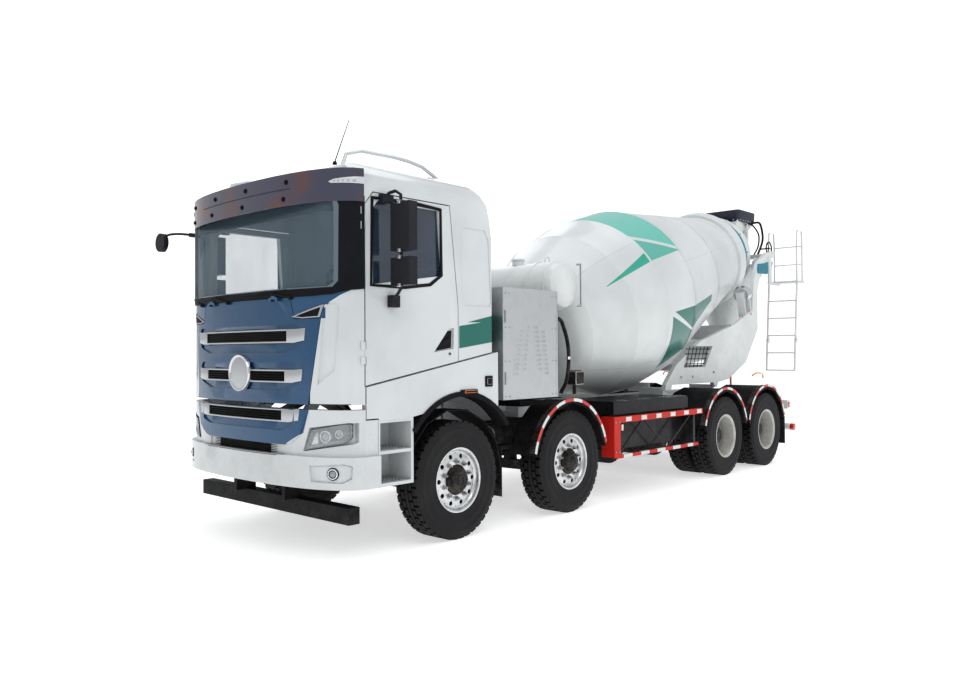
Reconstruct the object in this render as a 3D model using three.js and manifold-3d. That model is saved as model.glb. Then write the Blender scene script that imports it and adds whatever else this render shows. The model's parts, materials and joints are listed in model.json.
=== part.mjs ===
// A concrete mixer truck with four axles: twin steering in front, a driven tandem behind.
// Millimetres, +Z up, the cab faces -Y and the truck's left side is +X.
// Lengths are written from axle 1 and the ground; the last group centres the truck on its origin.
import * as THREE from 'three';
import { mergeVertices } from 'three/addons/utils/BufferGeometryUtils.js';
import Module from 'manifold-3d';

const wasm = await Module();
wasm.setup();

// ---------- driving dimensions ----------

const SEAT_GAP = 0.3; // between pieces that touch
const PANEL_GAP = 10; // round doors and flaps

// wheels and axles
const AXLE_Y = [0, 1750, 5400, 6750];
const TYRE_RADIUS = 540;
const TYRE_WIDTH = 290;
const RIM_FLANGE_RADIUS = 298;
const WHEEL_SIDES = 16;
const STEER_WHEEL_X = 1080; // middle of a steered wheel
const TWIN_X = 915; // middle of a twin wheel
const TWIN_SPACING = 340;
const KINGPIN_X = 950;
const SPINDLE_RADIUS = 30;
const REAR_SPINDLE_RADIUS = 61;

// chassis
const RAIL_TOP = 960;
const RAIL_DEPTH = 270;
const RAIL_OUTER_X = 425;
const RAIL_FLANGE = 80;
const RAIL_FRONT_Y = -1050;
const RAIL_REAR_Y = 7600;
const SUBFRAME_DEPTH = 120;
const PORTAL_Y = 365; // middle of the portal that carries the cab's rear

// cab
const CAB_HALF_WIDTH = 1250;
const CAB_FRONT_Y = -1520;
const CAB_CORNER_Y = -1150;
const CAB_REAR_Y = 520;
const CAB_ROOF_Z = 3350;
const CAB_LOWEST_Z = 1280;
const CAB_WALL = 60;
const CAB_FLOOR_Z = 1450;
const CAB_FLOOR_THICK = 80;
const SILL_TOP_Z = 1760;
const PIVOT = { y: -1300, z: 950 };
const PIVOT_RADIUS = 30;
const SILL_FRONT_Z = 1435; // bottom edge of the cab side at the door's front
const GRIP_DEPTH = 26;
const SILL_SLOPE = 0.172; // rise of that edge towards the rear
const DOOR_FRONT_Y = -1139;
const DOOR_REAR_Y = -40;
const DOOR_TOP_Z = 3020;
const FLAP_HALF_WIDTH = 860; // at its foot
const FLAP_SHOULDER_Z = 1985; // where it is widest
const FLAP_SHOULDER_WIDTH = 985;
const FLAP_TOP_WIDTH = 680;
const RECESS_DEPTH = 16;
const FLAP_TOP_Z = 2165;
const FLAP_THICK = 50;
const SCREEN_BOTTOM_Z = 2230;
const SCREEN_TOP_Z = 3000;

// battery cabinet and water tank
const CABINET = { front: 600, rear: 1490, bottom: 1240, top: 2336, halfWidth: 1245 };
const TANK = { y: 2020, z: 2450, radius: 270, halfLength: 1030 };

// drum, in its own frame: s runs back along the axis from the front seam
const DRUM_TILT = THREE.MathUtils.degToRad(15.6);
const DRUM_Y = 2727;
const DRUM_Z = 1971;
const DRUM_RADIUS = 1200;
const DRUM_WALL = 12;
const DRUM_FRONT_RADIUS = 850;
const HEAD_DEPTH = 300;
const RING_S = 4450;
const RING_RADIUS = 780;
const COLLAR_RADIUS = 610;
const DRUM_END_S = 5100;
const ROLLER_X = 690;
const ROLLER_DROP = 580;
const ROLLER_LENGTH = 150;
const ROLLER_PIN = 25;

// rear end
const SUPPORT_X = 700; // inner face of a side plate
const SUPPORT_THICK = 60;
const FUNNEL_Y = 7950;
const FUNNEL_TOP_Z = 3230;
const FUNNEL_BOTTOM_Z = 2080;
const FUNNEL_OUTLET = 200;
const HOPPER = { halfWidth: 430, front: 7600, rear: 8200, top: 4040, rimDepth: 200 };
const CHUTE_RADIUS = 240;
const CHUTE_LENGTH = 1180;
const CHUTE_SLOPE = THREE.MathUtils.degToRad(16);
const CHUTE_AXIS_Z = 1930;
const SOCKET_TOP_Z = 1515; // where the chute's post turns
const LADDER = { inner: 620, outer: 1080, foot: 1380, deck: 2860, y: 8360, lean: 140, top: 3740, split: 1900 };

// ---------- solids ----------

// A manifold solid from a closed three.js geometry.
function solid(geometry) {
  const bare = geometry.clone();
  bare.deleteAttribute('normal');
  bare.deleteAttribute('uv');
  const merged = mergeVertices(bare, 1e-4);
  const made = new wasm.Manifold(new wasm.Mesh({
    numProp: 3,
    vertProperties: merged.attributes.position.array,
    triVerts: new Uint32Array(merged.index.array),
  }));
  if (made.volume() > 0) return made;
  const turned = new Uint32Array(merged.index.array);
  for (let i = 0; i < turned.length; i += 3) {
    [turned[i + 1], turned[i + 2]] = [turned[i + 2], turned[i + 1]];
  }
  return new wasm.Manifold(new wasm.Mesh({
    numProp: 3,
    vertProperties: merged.attributes.position.array,
    triVerts: turned,
  }));
}

// The three.js geometry of a manifold solid.
function geometryOf(made) {
  const mesh = made.getMesh();
  const geometry = new THREE.BufferGeometry();
  geometry.setAttribute('position', new THREE.BufferAttribute(mesh.vertProperties, 3));
  geometry.setIndex(new THREE.BufferAttribute(mesh.triVerts, 1));
  geometry.computeVertexNormals();
  return geometry;
}

const join = (...pieces) => pieces.flat().reduce((all, next) => all.add(next));
const cut = (body, ...tools) => tools.flat().reduce((left, tool) => left.subtract(tool), body);

function box(x0, x1, y0, y1, z0, z1) {
  const geometry = new THREE.BoxGeometry(x1 - x0, y1 - y0, z1 - z0);
  return solid(geometry.translate((x0 + x1) / 2, (y0 + y1) / 2, (z0 + z1) / 2));
}

// The same box on both sides of the truck.
function boxPair(x0, x1, y0, y1, z0, z1) {
  return [box(x0, x1, y0, y1, z0, z1), box(-x1, -x0, y0, y1, z0, z1)];
}

function shapeOf(points) {
  return new THREE.Shape(points.map(([a, b]) => new THREE.Vector2(a, b)));
}

function extrude(points, depth) {
  return new THREE.ExtrudeGeometry(shapeOf(points), { depth, bevelEnabled: false, curveSegments: 6 });
}

// An outline of (y, z) points made thick along X.
function alongX(points, x0, x1) {
  const turn = new THREE.Matrix4().makeBasis(
    new THREE.Vector3(0, 1, 0), new THREE.Vector3(0, 0, 1), new THREE.Vector3(1, 0, 0));
  return solid(extrude(points, x1 - x0).applyMatrix4(turn).translate(x0, 0, 0));
}

// An outline of (x, z) points made thick along Y.
function alongY(points, y0, y1) {
  const turn = new THREE.Matrix4().makeBasis(
    new THREE.Vector3(1, 0, 0), new THREE.Vector3(0, 0, 1), new THREE.Vector3(0, -1, 0));
  return solid(extrude(points, y1 - y0).applyMatrix4(turn).translate(0, y1, 0));
}

// An outline of (x, y) points made thick along Z.
function alongZ(points, z0, z1) {
  return solid(extrude(points, z1 - z0).translate(0, 0, z0));
}

// A turned solid from (radius, height) points; the axis is Z before it is placed.
function turned(profile, sides, phase = 0) {
  const points = profile.map(([r, h]) => new THREE.Vector2(r, h));
  const geometry = new THREE.LatheGeometry(points, sides, phase).rotateX(Math.PI / 2);
  return solid(geometry);
}

// Closed copy of a ring profile.
const ring = (profile) => [...profile, profile[0]];

// A straight round bar between two points.
function rod(from, to, radius, sides = 6) {
  const a = new THREE.Vector3(...from);
  const b = new THREE.Vector3(...to);
  const geometry = new THREE.CylinderGeometry(radius, radius, a.distanceTo(b), sides);
  const turn = new THREE.Quaternion().setFromUnitVectors(
    new THREE.Vector3(0, 1, 0), b.clone().sub(a).normalize());
  geometry.applyQuaternion(turn).translate(...a.add(b).multiplyScalar(0.5).toArray());
  return solid(geometry);
}

// A round bar along a smooth line through points.
function bentRod(points, radius, steps, sides = 6) {
  const path = new THREE.CatmullRomCurve3(points.map((p) => new THREE.Vector3(...p)), false, 'centripetal');
  const section = new THREE.Shape(
    Array.from({ length: sides }, (_, i) => new THREE.Vector2(
      radius * Math.cos((2 * Math.PI * i) / sides), radius * Math.sin((2 * Math.PI * i) / sides))));
  return solid(new THREE.ExtrudeGeometry(section, { steps, extrudePath: path }));
}

// A closed outline moved outwards by a distance (inwards when negative), corner by corner.
function offsetOutline(points, distance) {
  const area = points.reduce((sum, [x, y], i) => {
    const [nx, ny] = points[(i + 1) % points.length];
    return sum + x * ny - nx * y;
  }, 0);
  const side = Math.sign(area) * distance;
  return points.map((point, i) => {
    const before = points[(i + points.length - 1) % points.length];
    const after = points[(i + 1) % points.length];
    const a = new THREE.Vector2(point[0] - before[0], point[1] - before[1]).normalize();
    const b = new THREE.Vector2(after[0] - point[0], after[1] - point[1]).normalize();
    const na = new THREE.Vector2(a.y, -a.x);
    const nb = new THREE.Vector2(b.y, -b.x);
    const miter = na.clone().add(nb);
    const scale = side / (1 + na.dot(nb));
    return [point[0] + miter.x * scale, point[1] + miter.y * scale];
  });
}

const mirrored = (piece) => piece.mirror([1, 0, 0]);

// ---------- the cab's outer form: three outlines that meet ----------

const curvePoints = (curve, steps) => curve.getPoints(steps).map((p) => [p.x, p.y]);

// Half of the plan's front, from the middle to the side.
function frontCurve() {
  const curve = new THREE.CubicBezierCurve(
    new THREE.Vector2(0, CAB_FRONT_Y),
    new THREE.Vector2(0.58 * CAB_HALF_WIDTH, CAB_FRONT_Y),
    new THREE.Vector2(0.965 * CAB_HALF_WIDTH, CAB_FRONT_Y + 110),
    new THREE.Vector2(CAB_HALF_WIDTH, CAB_CORNER_Y));
  return curvePoints(curve, 8);
}

function planOutline(offset) {
  const half = frontCurve();
  const rear = [[CAB_HALF_WIDTH, CAB_REAR_Y - 90], [CAB_HALF_WIDTH - 90, CAB_REAR_Y]];
  const left = [...half, ...rear];
  const right = left.slice(1).reverse().map(([x, y]) => [-x, y]);
  return offsetOutline([...left, ...right], offset);
}

function sideOutline(offset) {
  const brow = new THREE.CubicBezierCurve(
    new THREE.Vector2(CAB_FRONT_Y + 165, 3160),
    new THREE.Vector2(CAB_FRONT_Y + 230, CAB_ROOF_Z - 60),
    new THREE.Vector2(CAB_FRONT_Y + 520, CAB_ROOF_Z),
    new THREE.Vector2(CAB_FRONT_Y + 900, CAB_ROOF_Z));
  const nape = new THREE.CubicBezierCurve(
    new THREE.Vector2(CAB_REAR_Y - 600, CAB_ROOF_Z),
    new THREE.Vector2(CAB_REAR_Y - 260, CAB_ROOF_Z - 30),
    new THREE.Vector2(CAB_REAR_Y - 150, CAB_ROOF_Z - 180),
    new THREE.Vector2(CAB_REAR_Y - 110, CAB_ROOF_Z - 400));
  const foot = offset === 0 ? CAB_LOWEST_Z : CAB_LOWEST_Z - 400;
  return offsetOutline([
    [CAB_REAR_Y, foot],
    [CAB_REAR_Y, 1840],
    [CAB_REAR_Y - 20, 2320],
    ...curvePoints(nape, 4).reverse(),
    ...curvePoints(brow, 4).reverse(),
    [CAB_FRONT_Y + 135, SCREEN_TOP_Z],
    [CAB_FRONT_Y, SCREEN_BOTTOM_Z - 60],
    [CAB_FRONT_Y, foot],
  ], offset);
}

function frontOutline(offset) {
  const shoulder = new THREE.CubicBezierCurve(
    new THREE.Vector2(CAB_HALF_WIDTH - 8, 3080),
    new THREE.Vector2(CAB_HALF_WIDTH - 25, CAB_ROOF_Z - 130),
    new THREE.Vector2(CAB_HALF_WIDTH - 130, CAB_ROOF_Z - 30),
    new THREE.Vector2(CAB_HALF_WIDTH - 420, CAB_ROOF_Z));
  const left = [[CAB_HALF_WIDTH, CAB_LOWEST_Z - 500], [CAB_HALF_WIDTH, 2300], ...curvePoints(shoulder, 4)];
  const right = left.slice().reverse().map(([x, z]) => [-x, z]);
  return offsetOutline([...left, ...right], offset);
}

function cabForm(offset) {
  const side = alongX(sideOutline(offset), -2000, 2000);
  const plan = alongZ(planOutline(offset), 600, 4000);
  const front = alongY(frontOutline(offset), -3000, 2000);
  return side.intersect(plan).intersect(front);
}

const sillZ = (y) => SILL_FRONT_Z + SILL_SLOPE * (y - DOOR_FRONT_Y);

// The room inside the cab; a positive inset keeps things clear of its walls.
function cabRoom(inset) {
  const form = cabForm(-CAB_WALL - inset);
  const floor = CAB_FLOOR_Z + CAB_FLOOR_THICK + inset;
  const low = form.intersect(form.translate([0, CAB_WALL + 8, 0]))
    .intersect(box(-1125 + inset, 1125 - inset, -2000, 2000, floor, SILL_TOP_Z + 1));
  const middle = form.intersect(form.translate([0, CAB_WALL + 8, 0]))
    .intersect(box(-2000, 2000, -2000, 2000, SILL_TOP_Z + inset, FLAP_TOP_Z + 40));
  const high = form.intersect(box(-2000, 2000, -2000, 2000, FLAP_TOP_Z + 39, 4000));
  return join(low, middle, high);
}

// Outline of the left door in (y, z).
function doorOutline(offset) {
  return offsetOutline([
    [DOOR_FRONT_Y, sillZ(DOOR_FRONT_Y)],
    [DOOR_REAR_Y, sillZ(DOOR_REAR_Y)],
    [DOOR_REAR_Y, 2100],
    [DOOR_REAR_Y - 100, DOOR_TOP_Z],
    [DOOR_FRONT_Y + 90, DOOR_TOP_Z],
    [DOOR_FRONT_Y, DOOR_TOP_Z - 110],
  ], offset);
}

// The space that the left door takes out of the cab's wall.
function doorSpace(offset, innerX) {
  const outline = doorOutline(offset);
  const low = alongX(outline, innerX, 1400).intersect(box(0, 2000, -2000, 2000, 1000, SILL_TOP_Z + 40));
  const high = alongX(outline, 1000, 1400).intersect(box(0, 2000, -2000, 2000, SILL_TOP_Z + 40, 4000));
  return low.add(high);
}

// Outline of the pocket behind the door's handle in (y, z).
function gripOutline() {
  return [
    [DOOR_REAR_Y - 310, 1705],
    [DOOR_REAR_Y - 60, 1735],
    [DOOR_REAR_Y - 50, 1925],
    [DOOR_REAR_Y - 120, 1915],
  ];
}

// Outline of the left door's window in (y, z).
function windowOutline(offset) {
  return offsetOutline([
    [-1060, 2265],
    [-240, 2385],
    [-285, 2960],
    [-1000, 2960],
    [-1050, 2900],
  ], offset);
}

// Outline of the windscreen's opening in (x, z).
function screenOutline(offset) {
  return offsetOutline([
    [-1120, SCREEN_BOTTOM_Z + 30],
    [-1060, SCREEN_BOTTOM_Z],
    [1060, SCREEN_BOTTOM_Z],
    [1120, SCREEN_BOTTOM_Z + 30],
    [1120, SCREEN_TOP_Z],
    [-1120, SCREEN_TOP_Z],
  ], offset);
}

// The front flap's room: narrow between its hinges, widest at its shoulder.
function flapSpace(offset) {
  const right = [
    [FLAP_HALF_WIDTH, CAB_LOWEST_Z - 50],
    [FLAP_SHOULDER_WIDTH, FLAP_SHOULDER_Z],
    [FLAP_TOP_WIDTH + 40, FLAP_SHOULDER_Z],
    [FLAP_TOP_WIDTH, FLAP_TOP_Z],
  ];
  const left = right.slice().reverse().map(([x, z]) => [-x, z]);
  return alongY(offsetOutline([...right, ...left], offset), -2000, CAB_CORNER_Y - 50);
}

// A shallow recess in the cab's skin, under an outline seen from the front.
function frontRecess(outline, depth) {
  return cabForm(5).subtract(cabForm(-depth)).intersect(alongY(outline, -2000, -1190));
}

function symmetric(points) {
  return [...points, ...points.slice().reverse().map(([x, z]) => [-x, z])];
}

// Outline of the recess round a grille that is this wide at each side and centred on this height.
function grilleRecess(halfWidth, z) {
  return symmetric([
    [halfWidth - 200, z - 130],
    [halfWidth + 5, z - 75],
    [halfWidth + 35, z + 70],
    [halfWidth, z + 105],
  ]);
}

const HINGE = { x: 1246, y: -1145, radius: 7, heights: [1700, 2800] };

// Barrels that carry the left door: the outer two on the cab, the middle one on the door.
function cabBarrels() {
  const barrel = (z) => rod([HINGE.x, HINGE.y, z - 30], [HINGE.x, HINGE.y, z + 30], HINGE.radius);
  const tongue = (z) => box(HINGE.x - 6, HINGE.x + 3, HINGE.y - 40, HINGE.y, z - 30, z + 30);
  return HINGE.heights.flatMap((z) => [-60 - SEAT_GAP, 60 + SEAT_GAP].flatMap(
    (step) => [barrel(z + step), tongue(z + step)]));
}

function doorBarrels() {
  return HINGE.heights.flatMap((z) => [
    rod([HINGE.x, HINGE.y, z - 30], [HINGE.x, HINGE.y, z + 30], HINGE.radius),
    box(HINGE.x - 6, HINGE.x + 3, HINGE.y, HINGE.y + 40, z - 30, z + 30),
  ]);
}

function cabShell() {
  const underside = cabForm(-CAB_WALL).intersect(box(-1182, 1182, -1600, 2000, 1000, CAB_FLOOR_Z));
  const nose = underside.subtract(box(-FLAP_HALF_WIDTH, FLAP_HALF_WIDTH, -1600, CAB_FRONT_Y + 300, 1400, 2000)
    .subtract(cabForm(-CAB_WALL - FLAP_THICK - 20)));
  const fenderSpace = alongX([
    [CAB_CORNER_Y + 4, 1000],
    [1000, 1000],
    [1000, sillZ(1000)],
    [CAB_CORNER_Y + 4, sillZ(CAB_CORNER_Y + 4)],
  ], 1182, 1400);
  const arms = [1, -1].map((side) => pivotArm(Math.min(440 * side, 500 * side)));
  const openings = [doorSpace(PANEL_GAP, 1182), box(1182, 1400, DOOR_FRONT_Y - 14, DOOR_FRONT_Y, 1430, 2900)];
  const flapRoom = join(
    flapSpace(6).intersect(cabForm(50).subtract(cabForm(-FLAP_THICK - 8))),
    box(-FLAP_HALF_WIDTH - 30, FLAP_HALF_WIDTH + 30, -2000, CAB_FRONT_Y + 150, 1000, 1400));
  const cornerRecess = frontRecess(
    [[955, 1440], [1100, 1560], [1135, 2060], [1110, 2110], [1040, 2110], [1010, 2060]], 14);
  const quarterRecess = cabForm(5).subtract(cabForm(-8)).intersect(alongX([
    [60, 2130], [400, 2130], [425, 2170], [395, 2760], [340, 2850], [60, 2850], [20, 2800], [20, 2180],
  ], 1000, 1400));
  const pressings = [cornerRecess, quarterRecess];
  const shell = cut(
    cabForm(0), pressings, pressings.map(mirrored),
    cabRoom(0), nose, fenderSpace, mirrored(fenderSpace), openings, openings.map(mirrored),
    alongY(screenOutline(0), -1700, -1190), flapRoom);
  const rails = [900, -900].map((x) => bentRod([
    [x, -1120, CAB_ROOF_Z - 120], [x, -1040, CAB_ROOF_Z + 60], [x, -700, CAB_ROOF_Z + 110],
    [x, -100, CAB_ROOF_Z + 70], [x, 180, CAB_ROOF_Z - 90],
  ], 17, 8));
  return join(shell, arms, cabBarrels(), cabBarrels().map(mirrored), cabTabs(), rails);
}

// One of the two arms that carry the cab on the tilting tube.
function pivotArm(x0) {
  const arm = alongX([
    [PIVOT.y - 45, PIVOT.z],
    [PIVOT.y + 45, PIVOT.z - 40],
    [-890, CAB_FLOOR_Z + 5],
    [-1010, CAB_FLOOR_Z + 5],
  ], x0, x0 + 60);
  const eye = rod([x0, PIVOT.y, PIVOT.z], [x0 + 60, PIVOT.y, PIVOT.z], 62, 16);
  const bore = rod([x0 - 5, PIVOT.y, PIVOT.z], [x0 + 65, PIVOT.y, PIVOT.z], PIVOT_RADIUS + 1.2, 16);
  return arm.add(eye).subtract(bore);
}

function door() {
  const wall = cabForm(0).subtract(cabRoom(0).intersect(box(-2000, 2000, -2000, 2000, SILL_TOP_Z + 40, 4000)));
  const leaf = wall.intersect(doorSpace(0, 1190));
  const pocket = HINGE.heights.map((z) => rod(
    [HINGE.x, HINGE.y, z - 100], [HINGE.x, HINGE.y, z + 100], HINGE.radius + 7, 12));
  const grip = cabForm(5).subtract(cabForm(-GRIP_DEPTH)).intersect(alongX(gripOutline(), 1000, 1400));
  return join(cut(leaf, alongX(windowOutline(0), 1000, 1400), pocket, grip), doorBarrels());
}

function doorGlass() {
  return cabForm(-22).subtract(cabForm(-30)).intersect(alongX(windowOutline(-SEAT_GAP), 1000, 1400));
}

function windscreen() {
  return cabForm(-8).subtract(cabForm(-18)).intersect(alongY(screenOutline(-SEAT_GAP), -1700, -1190));
}

const TAB = { x: 500, half: 30, width: 30, radius: 8 };

// Hinge pins along X at the flap's top edge: lugs on the cab, knuckles on the flap.
function tabPin(x0, x1) {
  return rod([x0, CAB_FRONT_Y, FLAP_TOP_Z], [x1, CAB_FRONT_Y, FLAP_TOP_Z], TAB.radius, 8);
}

function cabTabs() {
  const lug = join(
    tabPin(TAB.x - TAB.half, TAB.x + TAB.half),
    box(TAB.x - TAB.half, TAB.x + TAB.half, CAB_FRONT_Y - 6, CAB_FRONT_Y + 45, FLAP_TOP_Z + 6, FLAP_TOP_Z + 20),
    box(TAB.x - TAB.half, TAB.x + TAB.half, CAB_FRONT_Y - 6, CAB_FRONT_Y + 6, FLAP_TOP_Z, FLAP_TOP_Z + 20));
  return [lug, mirrored(lug)];
}

function flapTabs() {
  const knuckles = [-1, 1].flatMap((end) => {
    const near = TAB.x + end * (TAB.half + SEAT_GAP);
    const far = near + end * TAB.width;
    const [x0, x1] = [Math.min(near, far), Math.max(near, far)];
    return [tabPin(x0, x1), box(x0, x1, CAB_FRONT_Y - 4, CAB_FRONT_Y + 40, FLAP_TOP_Z - 25, FLAP_TOP_Z - 1)];
  });
  return [...knuckles, ...knuckles.map(mirrored)];
}

function frontFlap() {
  const panel = cabForm(0).subtract(cabForm(-FLAP_THICK)).intersect(flapSpace(0));
  const slot = (z0, z1) => box(-640, 640, -1700, -1300, z0, z1);
  const backs = [[1780, 1890], [1465, 1565]].map(([z0, z1]) => panel.intersect(
    box(-660, 660, -1700, -1300, z0 - 10, z1 + 10)).intersect(cabForm(-32)));
  const badge = rod([0, CAB_FRONT_Y - 18, 1531], [0, CAB_FRONT_Y + 30, 1531], 150, 24);
  const recesses = [frontRecess(grilleRecess(800, 1835), RECESS_DEPTH), frontRecess(grilleRecess(765, 1520), RECESS_DEPTH)];
  return join(cut(panel, recesses, slot(1780, 1890), slot(1465, 1565)), backs, flapTabs(), badge.intersect(
    box(-200, 200, CAB_FRONT_Y - 30, CAB_FRONT_Y + 28, 1300, 1800)));
}

// The tinted visor: a band that follows the cab's front, closed on top.
function sunVisor() {
  const shape = (offset) => alongZ(planOutline(offset), 2930, 3200);
  const band = shape(17).subtract(shape(3));
  const shelf = shape(17).intersect(box(-2000, 2000, -2000, 2000, 3184, 3200));
  return band.add(shelf).subtract(cabForm(SEAT_GAP)).intersect(box(-2000, 2000, -2000, CAB_CORNER_Y - 12, 2900, 3300));
}

// Two mirror heads on a bar, carried by the left door.
function doorMirror() {
  const bar = bentRod([
    [CAB_HALF_WIDTH + SEAT_GAP - 6, -930, 2985], [1330, -930, 3030], [1440, -930, 3010], [1450, -930, 2900],
    [1450, -930, 2400], [1440, -925, 2220], [1340, -900, 2160], [CAB_HALF_WIDTH + SEAT_GAP - 6, -870, 2130],
  ], 14, 16);
  const heads = join(
    box(1345, 1570, -950, -860, 2535, 2930),
    box(1345, 1570, -950, -860, 2250, 2480));
  const feet = join(
    box(1225, 1300, -990, -870, 2950, 3015),
    box(1225, 1310, -900, -810, 2080, 2180));
  return join(bar, heads, feet).subtract(cabForm(SEAT_GAP));
}

// The front corner mirror on the right side.
function cornerMirror() {
  const arm = bentRod([
    [-1150, -1330, 2890], [-1260, -1440, 2905], [-1400, -1500, 2900], [-1470, -1515, 2870],
  ], 12, 6);
  const head = rod([-1475, -1540, 2830], [-1475, -1490, 2830], 95, 16);
  const foot = rod([-1100, -1300, 2880], [-1170, -1380, 2892], 22, 8);
  return join(arm, head, foot).subtract(cabForm(SEAT_GAP));
}

function seats() {
  const floor = CAB_FLOOR_Z + CAB_FLOOR_THICK + SEAT_GAP;
  const one = [
    box(330, 830, -560, 20, floor, floor + 200),
    box(320, 840, -580, 30, floor + 200, floor + 360),
    alongX([[-70, floor + 300], [60, floor + 300], [190, floor + 980], [80, floor + 980]], 330, 830),
    box(440, 720, 100, 200, floor + 960, floor + 1160),
  ];
  return join(one, one.map(mirrored), box(-350, 350, -500, 0, floor, floor + 170));
}

function dashboard() {
  const body = alongX([
    [-1500, 1850], [-1000, 1850], [-880, 2060], [-960, 2190], [-1500, 2190],
  ], -1150, 1150).intersect(cabRoom(SEAT_GAP));
  const wheel = new THREE.TorusGeometry(225, 16, 5, 14).rotateX(THREE.MathUtils.degToRad(-52))
    .translate(550, -760, 2270);
  return join(body, solid(wheel), rod([550, -1000, 2080], [550, -752, 2271], 26),
    rod([330, -760, 2270], [770, -760, 2270], 16));
}

// ---------- front lower pieces ----------

const BUMPER_TOP_Z = 1240;
const BUMPER_FOOT_Z = 600;
const LAMP_DEPTH = 46;

function bumper() {
  const band = (offset, z0, z1) => alongZ(planOutline(offset), z0, z1);
  const lower = band(40, BUMPER_FOOT_Z, 860).subtract(band(-50, BUMPER_FOOT_Z - 1, 861));
  const upper = band(0, 850, BUMPER_TOP_Z).subtract(band(-60, 849, BUMPER_TOP_Z + 1));
  const shell = join(lower, upper).intersect(box(-1290, 1290, -2000, -1010, 0, 2000))
    .subtract(box(-2000, 2000, CAB_CORNER_Y + 8, 0, 1150, 2000));
  const chin = band(12, 940, BUMPER_TOP_Z).subtract(band(-55, 939, BUMPER_TOP_Z + 1)).intersect(alongY(symmetric([
    [560, 940], [700, 960], [790, 1030], [835, 1130], [870, BUMPER_TOP_Z]]), -2000, -1190));
  const mouth = box(-600, 600, -1700, -1490, 1125, 1215);
  const recess = band(20, 1060, 1232).subtract(band(-4, 1059, 1233)).intersect(
    alongY(grilleRecess(700, 1170), -2000, -1190));
  const intake = box(-560, 560, -1700, -1480, 850, 938);
  const lampPocket = band(5, 850, 1150).subtract(band(-LAMP_DEPTH, 849, 1151)).intersect(alongY([
    [815, 895], [1215, 965], [1262, 1010], [1262, 1135], [1190, 1135], [880, 1090]], -2000, -1195));
  const fogPocket = band(45, 600, 850).subtract(band(22, 599, 851)).intersect(alongY([
    [930, 660], [1180, 655], [1235, 690], [1240, 790], [1190, 812], [915, 790]], -2000, -1195));
  const mounts = boxPair(350, 420, -1470, RAIL_FRONT_Y - 310 - SEAT_GAP, 880, 1000);
  return join(cut(
    shell.add(chin), mouth, recess, intake, lampPocket, fogPocket, mirrored(lampPocket), mirrored(fogPocket)), mounts);
}

// The white step box and fender under the left door.
function stepFender() {
  const stepBox = cut(
    box(930, 1245, -1000, -600, 590, 1150),
    box(960, 1300, -980, -630, 620, 860),
    box(960, 1300, -980, -630, 890, 1120));
  const arch = Array.from({ length: 13 }, (_, i) => {
    const angle = THREE.MathUtils.degToRad(152 - i * 12.1);
    return [20 + 800 * Math.cos(angle), 540 + 800 * Math.sin(angle)];
  });
  const top = (y) => sillZ(y) - 16;
  const panel = alongX([
    [-1130, 1162], [-1000, 1162], [-990, 1140], [-690, 1140], ...arch.filter(([, z]) => z > 1140),
    [520, 1190], [520, top(520)], [-1130, top(-1130)],
  ], 1190, CAB_HALF_WIDTH);
  const web = box(880, 1195, -700, -600, 1140, 1180);
  const stay = box(RAIL_OUTER_X + SEAT_GAP, 945, -700, -640, 860, 920);
  const rearStay = box(RAIL_OUTER_X + SEAT_GAP, 1195, 455, 515, 1215, 1265);
  const rearLeg = box(RAIL_OUTER_X + SEAT_GAP, 490, 455, 515, 800, 1265);
  return join(stepBox, panel, web, stay, rearStay, rearLeg);
}

// ---------- chassis ----------

const RAIL_BOTTOM = RAIL_TOP - RAIL_DEPTH;
const RAIL_INNER_X = RAIL_OUTER_X - RAIL_FLANGE;

function chassisFrame() {
  const channel = cut(
    box(RAIL_INNER_X, RAIL_OUTER_X, RAIL_FRONT_Y, RAIL_REAR_Y, RAIL_BOTTOM, RAIL_TOP),
    box(RAIL_INNER_X - 1, RAIL_OUTER_X - 10, RAIL_FRONT_Y - 1, RAIL_REAR_Y + 1, RAIL_BOTTOM + 12, RAIL_TOP - 12));
  const horn = box(RAIL_INNER_X, RAIL_OUTER_X, RAIL_FRONT_Y - 310, RAIL_FRONT_Y + 40, RAIL_TOP - 100, RAIL_TOP + 60);
  const cross = [-950, 560, 2300, 3300, 4400, 7450].map((y) => box(
    -RAIL_OUTER_X + 5, RAIL_OUTER_X - 5, y - 40, y + 40, RAIL_BOTTOM + 40, RAIL_TOP - 60));
  const tube = rod([-520, PIVOT.y, PIVOT.z], [520, PIVOT.y, PIVOT.z], PIVOT_RADIUS, 16);
  const portal = [
    ...boxPair(RAIL_INNER_X, RAIL_OUTER_X, PORTAL_Y - 30, PORTAL_Y + 30, RAIL_TOP - 10, CAB_FLOOR_Z - 60),
    box(-RAIL_OUTER_X, RAIL_OUTER_X, PORTAL_Y - 30, PORTAL_Y + 30, CAB_FLOOR_Z - 70, CAB_FLOOR_Z - SEAT_GAP),
  ];
  return join(channel, mirrored(channel), horn, mirrored(horn), cross, tube, portal);
}

function mixerSubframe() {
  const base = RAIL_TOP + SEAT_GAP;
  const rails = boxPair(RAIL_INNER_X, RAIL_OUTER_X, 1850, 7400, base, RAIL_TOP + SUBFRAME_DEPTH);
  const cross = [1900, 2600, 4700, 5700, 7300].map(
    (y) => box(-RAIL_OUTER_X + 5, RAIL_OUTER_X - 5, y - 40, y + 40, base, RAIL_TOP + 70));
  return join(rails, cross);
}

function frontUnderrunBar() {
  const bar = box(-1147, 1147, -1240, -1120, 300, 440);
  const hangers = boxPair(360, 410, -1340, -1130, 430, RAIL_TOP - 100 - SEAT_GAP);
  return join(bar, hangers);
}

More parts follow.
